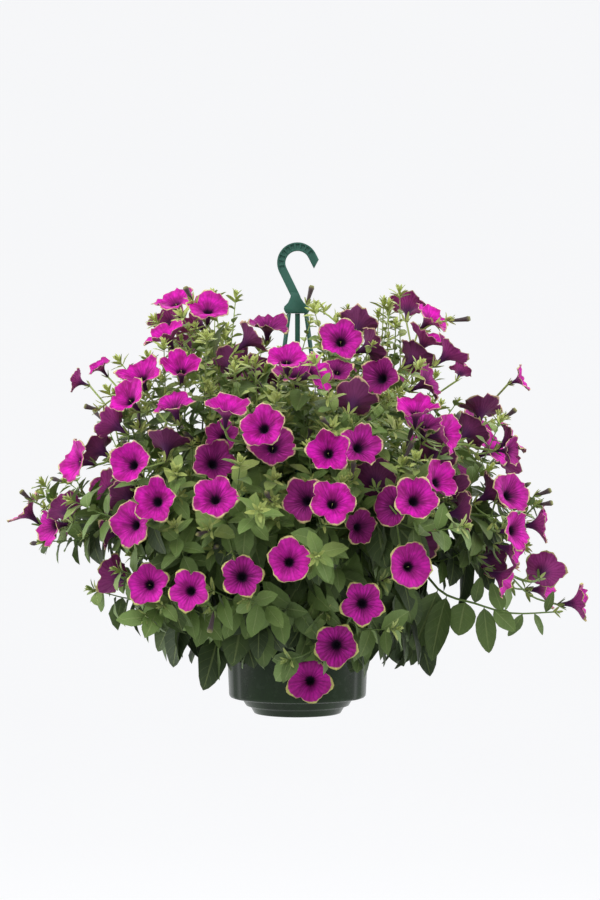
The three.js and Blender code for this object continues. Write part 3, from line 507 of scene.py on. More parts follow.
def stalks_of(shoot):
    """The first bloom's stalk goes on from the stem's tip, and the others branch from it"""
    start = shoot["tip"] + shoot["arrival"] * JOIN_GAP

    def curve(begin, ahead, bloom, shares):
        span = apart(begin, bloom["foot"])
        first = begin + ahead * 0.4 * span
        second = bloom["foot"] - bloom["direction"] * 0.4 * span
        return [bezier(begin, first, second, bloom["foot"], t) for t in shares]

    main = curve(start, shoot["arrival"], shoot["own"][0], [0, 0.35, 0.7, 1])
    stalks = [main]
    others = shoot["own"][1:]
    for i, bloom in enumerate(others):
        begin = mixed(main[0], main[1], 0.9 * (i + 0.7) / (len(others) + 0.4))
        ahead = unit(unit(bloom["foot"] - begin) + shoot["arrival"] * 0.6)
        bends = angle_between(bloom["foot"] - begin, bloom["direction"]) > math.radians(55)
        stalks.append(curve(begin, ahead, bloom, [0, 0.5, 1] if bends else [0, 1]))
    return stalks


class Room:
    """The balls that stand for what is already placed, each with its owner"""

    def __init__(self):
        self.places = np.zeros((0, 3))
        self.radii = np.zeros(0)
        self.owners = np.zeros(0, dtype="<U12")

    def add(self, balls, owner):
        places, radii = balls
        self.places = np.vstack([self.places, places])
        self.radii = np.concatenate([self.radii, radii])
        self.owners = np.concatenate([self.owners, np.full(len(radii), owner, dtype="<U12")])

    def is_clear(self, balls, *passed_over):
        """Whether the balls meet none of another owner than those passed over"""
        places, radii = balls
        low, high = places.min(0) - BALL_REACH, places.max(0) + BALL_REACH
        near = np.all((self.places > low) & (self.places < high), axis=1)
        for owner in passed_over:
            near &= self.owners != owner
        gaps = np.linalg.norm(places[:, None] - self.places[near][None], axis=2)
        return not np.any(gaps < radii[:, None] + self.radii[near][None])


def one_ball(place, radius):
    return np.array([place]), np.array([float(radius)])


def line_balls(places, radius):
    """Balls along a line, up to BALL_STEP apart"""
    balls = []
    for before, after in zip(places, places[1:]):
        count = math.ceil(apart(before, after) / BALL_STEP)
        balls += [mixed(before, after, (k + 1) / count) for k in range(count)]
    return np.array(balls), np.full(len(balls), float(radius))


def bloom_balls(bloom):
    """Balls along the bloom's tube, and in rings over its face"""
    direction, centre, size = bloom["direction"], bloom["centre"], bloom["size"]
    across = unit(UP - direction * (UP @ direction))
    over = np.cross(direction, across)
    balls = [centre - direction * BLOOM_LENGTH * share * size for share in (0.3, 0.55, 0.8, 1)]
    radii = [4.0] * 4
    for count, radius in ((1, 0), (6, 9), (11, 17), (17, 24)):
        for i in range(count):
            angle = 2 * math.pi * i / count
            ring = across * math.cos(angle) + over * math.sin(angle)
            balls.append(centre + ring * radius * size - direction * 1.5)
            radii.append(float(LEAF_ROOM))
    return np.array(balls), np.array(radii)


def side_stem(shoot, azimuth, key):
    """A side shoot leaves its stem past the rim, and hangs down beside the pot"""
    places = [on_path(shoot["stem"], k / 40) for k in range(40)]
    start = next((place for place in places if from_axis(place) > RIM_RADIUS + 11), shoot["stem"][-1])
    outward = level(azimuth)
    end = UP * (96 + 24 * chance(key)) + outward * (132 + 14 * chance(key + 1))
    first = start + outward * 22 + UP * 10
    second = end + UP * 45
    return [bezier(start, first, second, end, k / 3) for k in range(4)]


def add_side_shoots(shoots, room):
    """Each side shoot springs from the nearest low stem that has none yet"""
    free = [shoot for shoot in shoots if shoot["tip"][2] < SIDE_SHOOT_TOP]
    for i in range(SIDE_SHOOTS):
        options = []
        for shoot in free:
            for turn in (0, 6, -6, 11, -11):
                places = side_stem(shoot, math.radians(360 * i / SIDE_SHOOTS + turn), 300 + 2 * i)
                options.append((apart(places[0], places[-1]), shoot, places))
        options.sort(key=lambda option: option[0])
        for _, shoot, places in options:
            balls = line_balls(places, STEM_ROOM)
            if room.is_clear(balls, f"stem {shoot['number']}"):
                shoot["side_stem"] = places
                room.add(balls, f"side {shoot['number']}")
                free = [other for other in free if other is not shoot]
                break


def leaf_rows(shoot):
    """The leaves along the stem and along its side shoot"""
    number, tip = shoot["number"], shoot["tip"]
    count = round(apart(shoot["root"], tip) / 42 + 1e-9)
    row = {"stem": shoot["stem"], "owner": f"stem {number}", "begin": 0.54, "count": count}
    rows = [{**row, "hang": clamped((260 - tip[2]) / 120), "longest": 66, "shortest": 48}]
    if "side_stem" in shoot:
        row = {"stem": shoot["side_stem"], "owner": f"side {number}", "begin": 0.12, "count": 6}
        rows.append({**row, "hang": 1.6, "longest": 70, "shortest": 58})
    return rows


def leaf_like(base, ahead, face, length, wide, arch, key, petiole=LEAF_PETIOLE):
    leaf = {"base": base, "ahead": ahead, "up": unit(face - ahead * (face @ ahead)), "length": length}
    return {**leaf, "width": length * wide, "arch": arch, "key": key, "petiole": petiole}


def leaf_on(row, number, turn, size, key):
    """One of a row's leaves: those farther out are shorter, and those that hang point down"""
    share = mixed(row["begin"], 1, ((number + 0.6) / row["count"]) ** 0.8)
    base = on_path(row["stem"], share)
    stem_ahead = heading_on(row["stem"], share, 0.02)
    outward = away_from_axis(base)
    across = np.cross(UP, outward)
    side = unit(across - stem_ahead * (across @ stem_ahead))
    over = np.cross(stem_ahead, side)
    angle = math.radians(number * GOLDEN_ANGLE + turn + 30 * chance(key))
    ahead = side * math.cos(angle) + over * math.sin(angle)
    ahead += stem_ahead * (0.4 + 0.8 * share**2) + outward * 0.35 + UP * (-0.15 - 0.9 * row["hang"])
    ahead = unit(ahead)
    face = rotated(outward + UP * max(1.1 - 0.6 * row["hang"], 0.2), UP, 1.6 * (chance(key + 4) - 0.5))
    length = size * mixed(row["longest"], row["shortest"], share**2) * (0.85 + 0.3 * chance(key + 1))
    wide, arch = 0.5 + 0.1 * chance(key + 2), 20 + 30 * chance(key + 3)
    leaf = leaf_like(base, ahead, face, length, wide, arch, key)
    return {**leaf, "stem": row["stem"], "share": share}


def leaf_balls(leaf):
    """Balls in rows across the leaf's blade, which bends down by its arch"""
    rows = math.ceil(leaf["length"] / 8)
    side = np.cross(leaf["ahead"], leaf["up"])
    balls = []
    for i in range(rows):
        share = 0.08 + 0.92 * (i + 0.5) / rows
        angle = math.radians(leaf["arch"]) * share
        run = leaf["length"] * share
        place = leaf["base"] + leaf["ahead"] * run * math.cos(angle / 2)
        place = place - leaf["up"] * run * math.sin(angle / 2)
        half = leaf["width"] / 2 * max(math.sin(math.pi * share**0.72), 0) ** 0.8
        columns = (-0.85, -0.3, 0.3, 0.85) if half > 9 else (-0.7, 0, 0.7) if half > 4 else (0,)
        balls += [place + side * column * half for column in columns]
    return np.array(balls), np.full(len(balls), float(LEAF_ROOM))


def outside_pot(places):
    beside = np.hypot(places[:, 0], places[:, 1]) > RIM_RADIUS + 4
    return bool(np.all(beside | (places[:, 2] > POT_HEIGHT + 4)))


def grow_leaves(shoots, room):
    """Each leaf takes the first turn and size that keep it clear, and grows only where one does"""
    for shoot in shoots:
        shoot["leaves"] = []
        for row_number, row in enumerate(leaf_rows(shoot)):
            for number in range(row["count"]):
                key = 5000 + shoot["number"] * 200 + row_number * 100 + number * 5
                for size, turn in itertools.product(LEAF_SIZES, LEAF_TURNS):
                    leaf = leaf_on(row, number, turn, size, key)
                    balls = leaf_balls(leaf)
                    if outside_pot(balls[0]) and room.is_clear(balls, row["owner"]):
                        room.add(balls, "leaf")
                        shoot["leaves"].append(leaf)
                        break


def arm_places(degrees):
    """The line of one hanger arm, from the yoke down through its slot in the rim"""
    outward = level(math.radians(degrees))
    top = vec(12 * outward[0], 0, YOKE_FOOT - JOIN_GAP)
    slot = outward * sum(SLOT_RADII) / 2 + UP * (POT_HEIGHT + 12)
    first = top + outward * 8
    first[2] = YOKE_FOOT - 120
    second = slot + UP * 90
    places = [bezier(top, first, second, slot, i / 6) for i in range(7)]
    return [*places, slot - UP * 20.8]


blooms = lay_out_blooms()
shoots = lay_out_shoots(blooms)
room = Room()
for degrees in ARM_ANGLES:
    room.add(line_balls(arm_places(degrees), 5), "arm")
for shoot in shoots:
    spray = f"spray {shoot['number']}"
    shoot["stalks"] = stalks_of(shoot)
    for stalk, bloom in zip(shoot["stalks"], shoot["own"]):
        room.add(line_balls(stalk, 2), spray)
        room.add(bloom_balls(bloom), spray)
for shoot in shoots:
    # A stem leans aside by the least sway that keeps it clear of what is already there
    for sway in SWAYS:
        bend_stem(shoot, sway)
        places, radii = line_balls(shoot["stem"], STEM_ROOM)
        spray = f"spray {shoot['number']}"
        if room.is_clear((places[:-3], radii[:-3])) and room.is_clear((places, radii), spray):
            break
    else:
        bend_stem(shoot, 0)
    room.add(line_balls(shoot["stem"], STEM_ROOM), f"stem {shoot['number']}")
add_side_shoots(shoots, room)
grow_leaves(shoots, room)

# Soil
# Dark peat compost fills the pot to just under its rim. It is loose and crumbly, with a flat top
# that dips a little beside the wall.
SOIL_PROFILE = [
    (0, 9), (49, 9), (51, 11), (58, 21.3), (78, 21.3), (79, 23), (81.5, 66), (83.6, 124), (84.2, 136),
    (82, 139.5), (78, 141), (70, 141.5), *[(radius, SOIL_HEIGHT) for radius in range(60, -1, -10)],
]
SOIL_SEGMENTS = 64
LUMPS_FROM = 139  # the compost is lumpy above this height


def crumbly_soil():
    graph = Graph("potting compost", Specular_IOR_Level=0.2)
    lumps = graph.noise(160, 4)
    grains = graph.noise(700, 3)
    base = graph.mix(lumps.between(0.35, 0.65), colour("1d140e"), colour("4a3424"))
    fibres = graph.mix(grains.between(0.62, 0.72) * 0.5, base, colour("8a7355"))
    return graph.finish(
        Base_Color=fibres,
        Roughness=0.85 + grains * 0.15,
        Normal=graph.bump(lumps + grains * 0.4, 0.002, 0.8),
    )


def make_soil():
    bm = bmesh.new()
    turned(bm, SOIL_PROFILE, SOIL_SEGMENTS)
    for vert in bm.verts:
        if vert.co.z > at_height(LUMPS_FROM):
            lump = noise.noise(vert.co * 120) * 1.6 + noise.noise(vert.co * 420) * 0.7
            vert.co.z += lump * MM
    piece("fine_soil", bm, [crumbly_soil()], "soil")


make_soil()

# Leafy stems
# Each stem is green and tapers from the soil to its tip. Oval leaves stand round it on short
# stalks, and thin twigs with smaller leaves end in pale tufts of bracts and tiny buds.
ROOT_DEPTH = 28  # how far a stem goes on below its root's top
LOW_TIP = 270  # a stem whose tip is lower has large hanging leaves
HIGH_TIP = 400  # a stem whose tip is higher has its twigs closer together
TWIG_ROOM = 3
LEAF_TWIST = 50  # in degrees from foot to tip, at most half of it either way
BRACT_PETIOLE = 0.02
BUD_TOP = 395  # no twig ends in a bud above this height
BUD_TINT = -4  # a tint below -2 is a bud's, whose colour runs along it
BUD_RADII = [1.2, 1.9, 1.7, 2.1, 3.0, 2.5, 0.8]
# How far along a large leaf, a small leaf and a bract each row of vertices lies
LEAF_SHARES = [0, 0.05, 0.12, 0.22, 0.36, 0.52, 0.68, 0.83, 0.94, 1]
SMALL_LEAF_SHARES = [0, 0.1, 0.28, 0.55, 0.82, 1]
BRACT_SHARES = [0, 0.25, 0.6, 0.88, 1]


def marked_mesh():
    """An empty mesh whose vertices carry three marks for the materials to read"""
    bm = bmesh.new()
    bm.verts.layers.float_vector.new("marks")
    return bm


def join(bm, part):
    """Adds a small finished mesh to a larger one"""
    mesh = bpy.data.meshes.new("part")
    part.to_mesh(mesh)
    part.free()
    bm.from_mesh(mesh)
    bpy.data.meshes.remove(mesh)


def wrapped(bm, columns, rows, shape, creased=False, kind=0):
    """A closed form, made from a grid rolled up so that its long edges meet. The shape gives each
    vertex's place in millimetres and its marks from its shares round and along the grid."""
    part = marked_mesh()
    verts = bmesh.ops.create_grid(part, x_segments=columns, y_segments=rows, size=0.5)["verts"]
    shares = np.array([(vert.co.x + 0.5, vert.co.y + 0.5) for vert in verts])
    places, marks = shape(shares[:, 0], shares[:, 1])
    layer = part.verts.layers.float_vector["marks"]
    for vert, place, mark in zip(verts, (places - UP * HOOK_HEIGHT) * MM, marks):
        vert.co = place
        vert[layer] = mark
    if creased:
        half = 0.5 / columns
        rounds = zip(verts, shares[:, 0])
        margin = {vert for vert, x in rounds if min(x, 1 - x) < half or abs(x - 0.5) < half}
        for vert in margin:
            for edge in vert.link_edges:
                other = edge.other_vert(vert)
                if other in margin and abs(edge.verts[0][layer][0] - edge.verts[1][layer][0]) < 0.5:
                    edge.smooth = False
    for face in part.faces:
        face.material_index = kind
    bmesh.ops.remove_doubles(part, verts=verts, dist=2e-6)
    join(bm, part)


def add_leaf(bm, leaf, tint, shares=LEAF_SHARES, columns=8, thickness=0.7, kind=0):
    """A leaf on its short stalk: it arches, twists and folds up along its rib, with a wavy edge. Its
    marks are how far across and along it a vertex lies, and its tint."""
    base, ahead, up, length, width = (leaf[key] for key in ("base", "ahead", "up", "length", "width"))
    side = np.cross(up, ahead)
    key = leaf["key"]
    phase = 6.28 * chance(key + 7)
    twist = math.radians(LEAF_TWIST * (chance(key + 8) - 0.5))
    fold = 0.1 + 0.25 * chance(key + 9)
    petiole = leaf["petiole"]

    def shape(round_share, along):
        share = np.interp(along, np.linspace(0, 1, len(shares)), shares)
        angle = math.radians(leaf["arch"]) * share
        line = base + np.outer(length * share * np.cos(angle / 2), ahead)
        line = line - np.outer(length * share * np.sin(angle / 2), up)
        blade = np.clip((share - petiole) / (1 - petiole), 0, 1)
        half = width / 2 * np.clip(np.sin(math.pi * blade**0.8), 0, 1) ** 0.65
        within = (share > 0) & (share < 0.999)
        half = np.where(within, np.maximum(half, min(0.9, width / 8)), 0)
        turn = twist * share
        across = np.outer(np.cos(turn), side) + np.outer(np.sin(turn), up)
        above = np.outer(np.cos(turn), up) - np.outer(np.sin(turn), side)
        u = np.cos(2 * math.pi * round_share)
        top = np.sin(2 * math.pi * round_share)
        rib = np.clip(1 - np.abs(u) * 2.5, 0, 1) * np.where(top < 0, 1.2, 0.1) * (1 - 0.8 * share)
        wave = 0.1 * np.sin(share * 13 + phase + 2 * np.sign(u)) * np.abs(u)
        lift = half * (fold * np.abs(u) ** 1.4 + wave)
        depth = thickness / 2 * top * within * (1 + rib)
        places = line + across * (half * u)[:, None] + above * (lift + depth)[:, None]
        marks = np.stack([u, share, np.full(len(u), tint)], axis=1)
        return places, marks

    wrapped(bm, columns, len(shares) - 1, shape, creased=True, kind=kind)


def smooth_path(places, per=4):
    """A smooth curve through the places"""
    ends = [2 * places[0] - places[1], *places, 2 * places[-1] - places[-2]]
    line = []
    for a, b, c, d in zip(ends, ends[1:], ends[2:], ends[3:]):
        bend = 2 * a - 5 * b + 4 * c - d
        turn = 3 * b - a - 3 * c + d
        for i in range(per):
            t = i / per
            line.append(0.5 * (2 * b + (c - a) * t + bend * t * t + turn * t**3))
    return [*line, places[-1]]


def add_tube(bm, line, radii, tint, columns=6, kind=0):
    """A closed round tube along a line, with a radius for each place on it"""
    line = [line[0], *line, line[-1]]
    radii = [0, *radii, 0]
    last = len(line) - 2
    ahead = []
    for i in range(len(line)):
        before, after = clamped(i - 1, 1, last - 1), clamped(i + 1, 2, last)
        ahead.append(unit(line[after] - line[before]))
    side = unit(np.cross(ahead[0], vec(0.3, 0.2, 0.9)))
    sides = []
    for direction in ahead:
        side = unit(side - direction * (side @ direction))
        sides.append(side)
    line, ahead, sides, radii = (np.array(values) for values in (line, ahead, sides, radii))

    def shape(round_share, along):
        row = np.rint(along * (len(line) - 1)).astype(int)
        angle = 2 * math.pi * round_share
        over = np.cross(ahead[row], sides[row])
        ring = sides[row] * np.cos(angle)[:, None] + over * np.sin(angle)[:, None]
        places = line[row] + ring * radii[row][:, None]
        marks = np.stack([np.full(len(row), 0.5), along, np.full(len(row), tint)], axis=1)
        return places, marks

    wrapped(bm, columns, len(line) - 1, shape, kind=kind)


def taper(line, first, last):
    """A tube's radii along a line, from its first to its last"""
    return [mixed(first, last, i / (len(line) - 1)) for i in range(len(line))]


def around(ahead, angle):
    """A direction square to the one ahead, turned round it"""
    side = unit(np.cross(ahead, vec(0.21, 0.32, 0.92)))
    return side * math.cos(angle) + np.cross(ahead, side) * math.sin(angle)


def add_tuft(bm, place, ahead, key, count, size, kind=0):
    """A pale rosette of bracts with two small buds in it"""
    for i in range(count):
        out = around(ahead, math.radians(GOLDEN_ANGLE * i) + chance(key))
        heading = unit(ahead + out * (0.25 + 1.2 * (i / count)))
        base = place - ahead * (9 * size * i / count)
        length = size * (8 + 9 * i / count + 4 * chance(key + i))
        bract = leaf_like(base, heading, ahead - out * 0.4, length, 0.31, 30, key + 10 + i, BRACT_PETIOLE)
        add_leaf(bm, bract, 0.75 + 0.35 * chance(key + 20 + i), BRACT_SHARES, 4, 0.6, kind)
    for i in range(2):
        heading = unit(ahead + around(ahead, 2.1 + 3 * i + key) * 0.25)
        line = [place + heading * distance for distance in (0, 3.5 * size, 7 * size, 9.5 * size)]
        add_tube(bm, line, [0.7, 1.7 * size, 1.5 * size, 0.4], 0.95, 5, kind)


def add_bud(bm, place, ahead, length, radii=BUD_RADII, kind=0):
    """An unopened bloom: a slender dark tube, swollen and closed at its tip"""
    shares = (0, 0.15, 0.35, 0.55, 0.75, 0.88, 1)
    line = [place + ahead * length * share + UP * 2 * share**2 for share in shares]
    add_tube(bm, line, radii, BUD_TINT, 7, kind)


def leaf_green():
    """Soft green with paler veins and patches, yellower in the young leaves at the top, and darker
    lower down, partly as painted shade under the canopy
    """
    graph = Graph("petunia leaf", Sheen_Weight=0.15, Sheen_Roughness=0.5, Specular_IOR_Level=0.4)
    marks = graph.node("ShaderNodeAttribute", output=1, attribute_name="marks")
    across, along, tint = graph.split(marks)
    places = graph.node("ShaderNodeTexCoord", output=3)
    height = graph.split(places)[2]
    patches = graph.noise(45, 3)
    fine = graph.noise(600, 3)
    # Higher leaves are lighter and lower ones darker: partly young growth at the top, partly painted shade
    # under the canopy
    tone = tint + (patches - 0.5) * 0.3 + height.between(-0.5, -0.05) * 0.4 - 0.2
    base = graph.mix(tone.between(-0.1, 0.5), colour("293d16"), colour("6e8b3e"))
    base = graph.mix(tone.between(0.5, 1.05), base, colour("bcc86a"))
    rib = 1 - across.absolute().between(0.03, 0.1)
    side_veins = ((along * 7 - across.absolute() * 1.5).fraction() - 0.5).absolute().between(0.42, 0.5)
    veins = rib.maximum(side_veins * 0.4)
    base = graph.mix(veins * 0.35, base, colour("a3b46c"))
    bud = graph.mix(along.between(0.65, 0.95), colour("432b38"), colour("a0a258"))
    base = graph.mix(tint.between(-2, -3), base, bud)
    relief = patches * 0.3 + fine * 0.15 - veins * 0.5
    return graph.finish(
        Base_Color=graph.mix(fine * 0.25, base, colour("3d5122")),
        Roughness=0.5 + fine * 0.2,
        Normal=graph.bump(relief, 0.0008, 0.6),
    )


def twig_of(line, share, turn, key):
    """A thin side branch from a stem towards the canopy's surface, and not through it"""
    start = on_path(line, share)
    stem_ahead = heading_on(line, share, 0.03)
    outward = unit(start - UP * 150)
    lean = around(stem_ahead, math.radians(turn) + chance(key))
    heading = unit(lean + outward * 0.7 + stem_ahead * 0.5 + UP * 0.25)
    length = 60 + 60 * chance(key + 1)
    while length > 25:
        end = start + heading * length
        if from_axis(end) < canopy_radius(end[2]) * 0.97:
            break
        length -= 8
    middle = start + heading * length * 0.5 - UP * 4
    end = start + heading * length + UP * length * 0.12
    return smooth_path([start, middle, end], 3)


def twig_leaf(line, share, i, turn, key):
    """A twig's leaf: a low one hangs more, and a high one is smaller"""
    base = on_path(line, share)
    ahead = heading_on(line, share, 0.05)
    low = clamped((240 - base[2]) / 90)
    out = around(ahead, math.radians(GOLDEN_ANGLE * i + turn) + 6 * chance(key))
    lift = UP * (0.1 - (0.5 + 0.8 * chance(key + 3 + i)) * low)
    heading = unit(out * (1 - 0.15 * low) + ahead * 0.55 * (1 - low * 0.5) + lift)
    size = (42 - 18 * share + 6 * low) * (0.75 + 0.5 * chance(key + 2 + i))
    size *= 1 - 0.5 * clamped((base[2] - 250) / 160)
    aside = rotated(away_from_axis(base), UP, 2.6 * (chance(key + 5 + i) - 0.5) * low)
    face = (UP + ahead * 0.4) * (1 - low * 0.7) + aside * (0.5 + low)
    return leaf_like(base, heading, face, size, 0.55, 15 + 30 * chance(key + i), key + 40 + i)


def add_twig(bm, line, key, room):
    """A twig with its small leaves, a tuft at its tip, and some with a second tuft or a bud"""
    add_tube(bm, line, taper(line, 1.1, 0.6), 0.55, 4)
    length = sum(apart(a, b) for a, b in zip(line, line[1:]))
    leaves = max(4, round(length / 9))
    for i in range(leaves):
        share = 0.15 + 0.83 * (i + 0.5) / leaves
        for turn in (0, 40, -40, 80):
            leaf = twig_leaf(line, share, i, turn, key)
            balls = leaf_balls(leaf)
            if outside_pot(balls[0]) and room.is_clear(balls, "leaf", "twig"):
                tint = 0.17 + 0.3 * share + 0.37 * chance(key + 60 + i)
                add_leaf(bm, leaf, tint, SMALL_LEAF_SHARES, 4)
                break
    tip = line[-1]
    ahead = unit(tip - line[-2])
    roomy = room.is_clear(one_ball(tip + ahead * 6, 10), "leaf", "twig")
    add_tuft(bm, tip, ahead, key + 80, 9, 1.0 if roomy else 0.6)
    if tip[2] > 260:
        lean = unit(ahead + around(ahead, 6 * chance(key + 85)))
        add_tuft(bm, on_path(line, 0.6) + lean * 9, lean, key + 86, 5, 0.8)
    if chance(key + 90) < 0.3 and tip[2] < BUD_TOP:
        lean = unit(ahead + around(ahead, 5 * chance(key + 91)) * 0.5)
        add_bud(bm, tip - ahead * 2, lean, 20 + 12 * chance(key + 92))


def hang_leaves(bm, stem, owner, begin, count, key, room):
    """Broad dark green leaves that hang from a low stem and hide the pot's rim, darkened further
    by painted shade under the canopy
    """
    line = smooth_path(stem)
    for i in range(count):
        share = mixed(begin, 1, (i + 0.5) / count)
        base = on_path(line, share)
        outward = away_from_axis(base)
        for turn in (0, 35, -35, 70, -70):
            angle = math.radians(GOLDEN_ANGLE * i + turn)
            lean = np.cross(UP, outward) * math.cos(angle) + outward * 0.6 * math.sin(angle)
            heading = unit(lean * 0.6 + outward * 0.2 - UP * (0.7 + 0.7 * chance(key)))
            aside = (0.35 + 0.65 * chance(key + 1)) * (1 if i % 2 else -1)
            face = rotated(outward, UP, aside) + UP * 0.2
            length = 44 + 28 * chance(key + 2)
            leaf = leaf_like(base, heading, face, length, 0.5 + 0.1 * chance(key + 3), 24, key + 4)
            balls = leaf_balls(leaf)
            if outside_pot(balls[0]) and room.is_clear(balls, "leaf", "twig", owner):
                # A low tint: their own dark green, darkened further as painted shade under the canopy
                add_leaf(bm, leaf, 0.4 * chance(key + 5) ** 2)
                room.add(balls, "leaf")
                break
        key += 13


# Short stems from the soil that lean over the rim where no other low stem does: the shoot that each
# belongs to, and its direction round the pot in degrees
RIM_STEMS = [(22, 16), (25, 52), (25, 66), (24, 97), (26, 119), (26, 143), (9, -12), (5, 242), (7, 304)]
RIM_STEM_ROOM = 2.2


def add_rim_stem(bm, number, degrees, key, room):
    """It rises over the rim, hangs down beside the pot, and carries broad leaves"""
    for turn in (0, 4, -4, 8, -8, 12, -12):
        outward = level(math.radians(degrees + turn))
        top = 182 + 14 * chance(key)
        course = ((66, 138), (84, top - 12), (106, top), (128, 152), (138, 108))
        places = [outward * radius + UP * height for radius, height in course]
        line = smooth_path(places)
        balls = line_balls(line, RIM_STEM_ROOM)
        if room.is_clear(balls, "leaf"):
            break
    add_tube(bm, line, taper(line, 1.9, 1.3), 0.5)
    room.add(balls, f"rim {number}")
    hang_leaves(bm, places, f"rim {number}", 0.3, 14, key + 1, room)


# One twig trails out to the right below the blooms. Its leaves hang from it one by one: for each,
# how far across the view it starts, then where its tip is and its width as a share of its length
TRAILING_SHOOT = 18
TRAILING_TWIG = [(165, -60, 152), (207, -74, 136), (250, -80, 125), (303, -72, 126)]
TRAILING_LEAVES = [
    (168, 137, 76, 0.46), (174, 152, 70, 0.38), (195, 187, 98, 0.8), (222, 223, 77, 0.44),
    (233, 254, 106, 0.6), (237, 226, 160, 0.5), (262, 246, 96, 0.4), (279, 288, 99, 0.34),
    (205, 212, 166, 0.45), (290, 298, 150, 0.4),
]


def add_trailing_twig(bm, stem):
    line = smooth_path([on_path(stem, 0.5), *[vec(*place) for place in TRAILING_TWIG]])
    add_tube(bm, line, taper(line, 1.7, 0.9), 0.6, 5)
    for i, (start, across, height, wide) in enumerate(TRAILING_LEAVES):
        base = min(line, key=lambda place: abs(place[0] - start))
        key = 90000 + 20 * i
        tip = vec(across, base[1] + 24 * (chance(key) - 0.7), height)
        face = rotated(vec(0, -1, 0.15), UP, 0.9 * (chance(key + 1) - 0.5))
        leaf = leaf_like(base, unit(tip - base), face, apart(tip, base), wide, 18, key + 2)
        add_leaf(bm, leaf, 0.25 + 0.3 * chance(key + 3))
    add_tuft(bm, line[-1], unit(line[-1] - line[-2]), 90900, 6, 0.8)


def add_twigs(bm, number, stem, count, begin, key, room):
    """Twigs spread along the outer part of a stem, each at the first turn that keeps it clear"""
    for i in range(count):
        share = mixed(begin, 0.97, (i + 0.5) / count)
        for turn in (0, 50, -50, 100, -100, 180):
            twig = twig_of(stem, share, GOLDEN_ANGLE * i + turn, key)
            balls = line_balls([*twig[1:], twig[-1] * 2 - twig[-2]], TWIG_ROOM)
            passed_over = [f"stem {number}", f"side {number}", "leaf"]
            if outside_pot(balls[0]) and room.is_clear(balls, *passed_over):
                add_twig(bm, twig, key, room)
                room.add(balls, "twig")
                break
        key += 100


def make_leafy_stem(shoot, green):
    bm = marked_mesh()
    number, stem, side_stem = shoot["number"], shoot["stem"], shoot.get("side_stem")
    line = smooth_path([shoot["root"] - UP * ROOT_DEPTH, *stem])
    add_tube(bm, line, taper(line, 2.7, 2.0), 0.5)
    if side_stem:
        line = smooth_path(side_stem)
        add_tube(bm, line, taper(line, 1.9, 1.5), 0.5)
    for leaf in shoot["leaves"]:
        # The leaf moves with its stem, which is smoother here than in the solid
        line = smooth_path(leaf["stem"])
        base = leaf["base"] + on_path(line, leaf["share"]) - on_path(leaf["stem"], leaf["share"])
        tint = 0.1 + 0.35 * chance(leaf["key"] + 6) + 0.2 * leaf["share"]
        add_leaf(bm, {**leaf, "base": base}, tint)
    if shoot["tip"][2] < LOW_TIP:
        hang_leaves(bm, stem, f"stem {number}", 0.45, 9, 60000 + number * 400, room)
    if side_stem:
        hang_leaves(bm, side_stem, f"side {number}", 0.1, 12, 60200 + number * 400, room)
    for i, (owner, degrees) in enumerate(RIM_STEMS):
        if owner == number:
            add_rim_stem(bm, number, degrees, 80000 + 300 * i, room)
    if number == TRAILING_SHOOT:
        add_trailing_twig(bm, stem)
    spacing = 20 if shoot["tip"][2] > HIGH_TIP else 24
    count = round(apart(shoot["root"], shoot["tip"]) / spacing)
    add_twigs(bm, number, smooth_path(stem), count, 0.42, 40000 + number * 4000, room)
    if side_stem:
        add_twigs(bm, number, smooth_path(side_stem), 2, 0.2, 42000 + number * 4000, room)
    node = f"leafy_stem_{number + 1:02d}"
    piece(f"fine_{node}", bm, [green], node)


# Balls keep twigs and small leaves out of the view of the hook and its yoke, at some depths in front
# of them, as across, height and radius, and of each bloom's face, as distance and radius
HOOK_VIEW = [(-2, 487, 20), (-8, 464, 13), (-6, 512, 14), (-12, 532, 14), (14, 524, 16)]
HOOK_VIEW_DEPTHS = [0, -40, -80, -120]
BLOOM_VIEW = [(13, 21), (30, 18), (48, 12)]
for y in HOOK_VIEW_DEPTHS:
    for across, height, radius in HOOK_VIEW:
        room.add(one_ball(vec(across, y, height), radius), "view")
for bloom in blooms:
    for distance, radius in BLOOM_VIEW:
        room.add(one_ball(bloom["centre"] + bloom["direction"] * distance, radius), "view")
green = leaf_green()
for shoot in shoots:
    make_leafy_stem(shoot, green)

# Bloom sprays
# Each petunia bloom is a thin funnel of five joined petals: magenta with a yellow-green edge, a
# nearly black throat and darker veins, and a dull purple back. Five narrow sepals hold its tube.
PETALS = 5
PETAL_COLUMNS = 40
TUBE_RADIUS = 7  # within this radius a bloom is a plain tube, and beyond it the petals flare
STIGMA_SHARE = 0.35  # of the blooms
TUFT_TO_BLOOM = 36  # no tuft stands on a stalk closer than this to a bloom's middle
FURLED_RADII = [1.3, 1.9, 2.1, 2.5, 3.0, 3.6, 2.6]
# Half of a bloom cut through, from its foot up the back, over the edge and down the face: height
# above the bloom's middle, radius, and 1 on the face or -1 behind
BLOOM_PROFILE = [
    (-32, 0, -1), (-32, 1.6, -1), (-27, 2.1, -1), (-21, 2.9, -1), (-16, 4.4, -1), (-12, 7, -1),
    (-8.2, 11, -1), (-5.2, 16, -1), (-2.6, 21, -1), (-1.0, 24.4, -1), (-0.4, 26, 0), (-0.2, 24.4, 1),
    (-1.8, 21, 1), (-4.4, 16, 1), (-7.4, 11, 1), (-10.8, 6.6, 1), (-14.5, 4, 1), (-20, 2.4, 1),
    (-22, 0, 1),
]


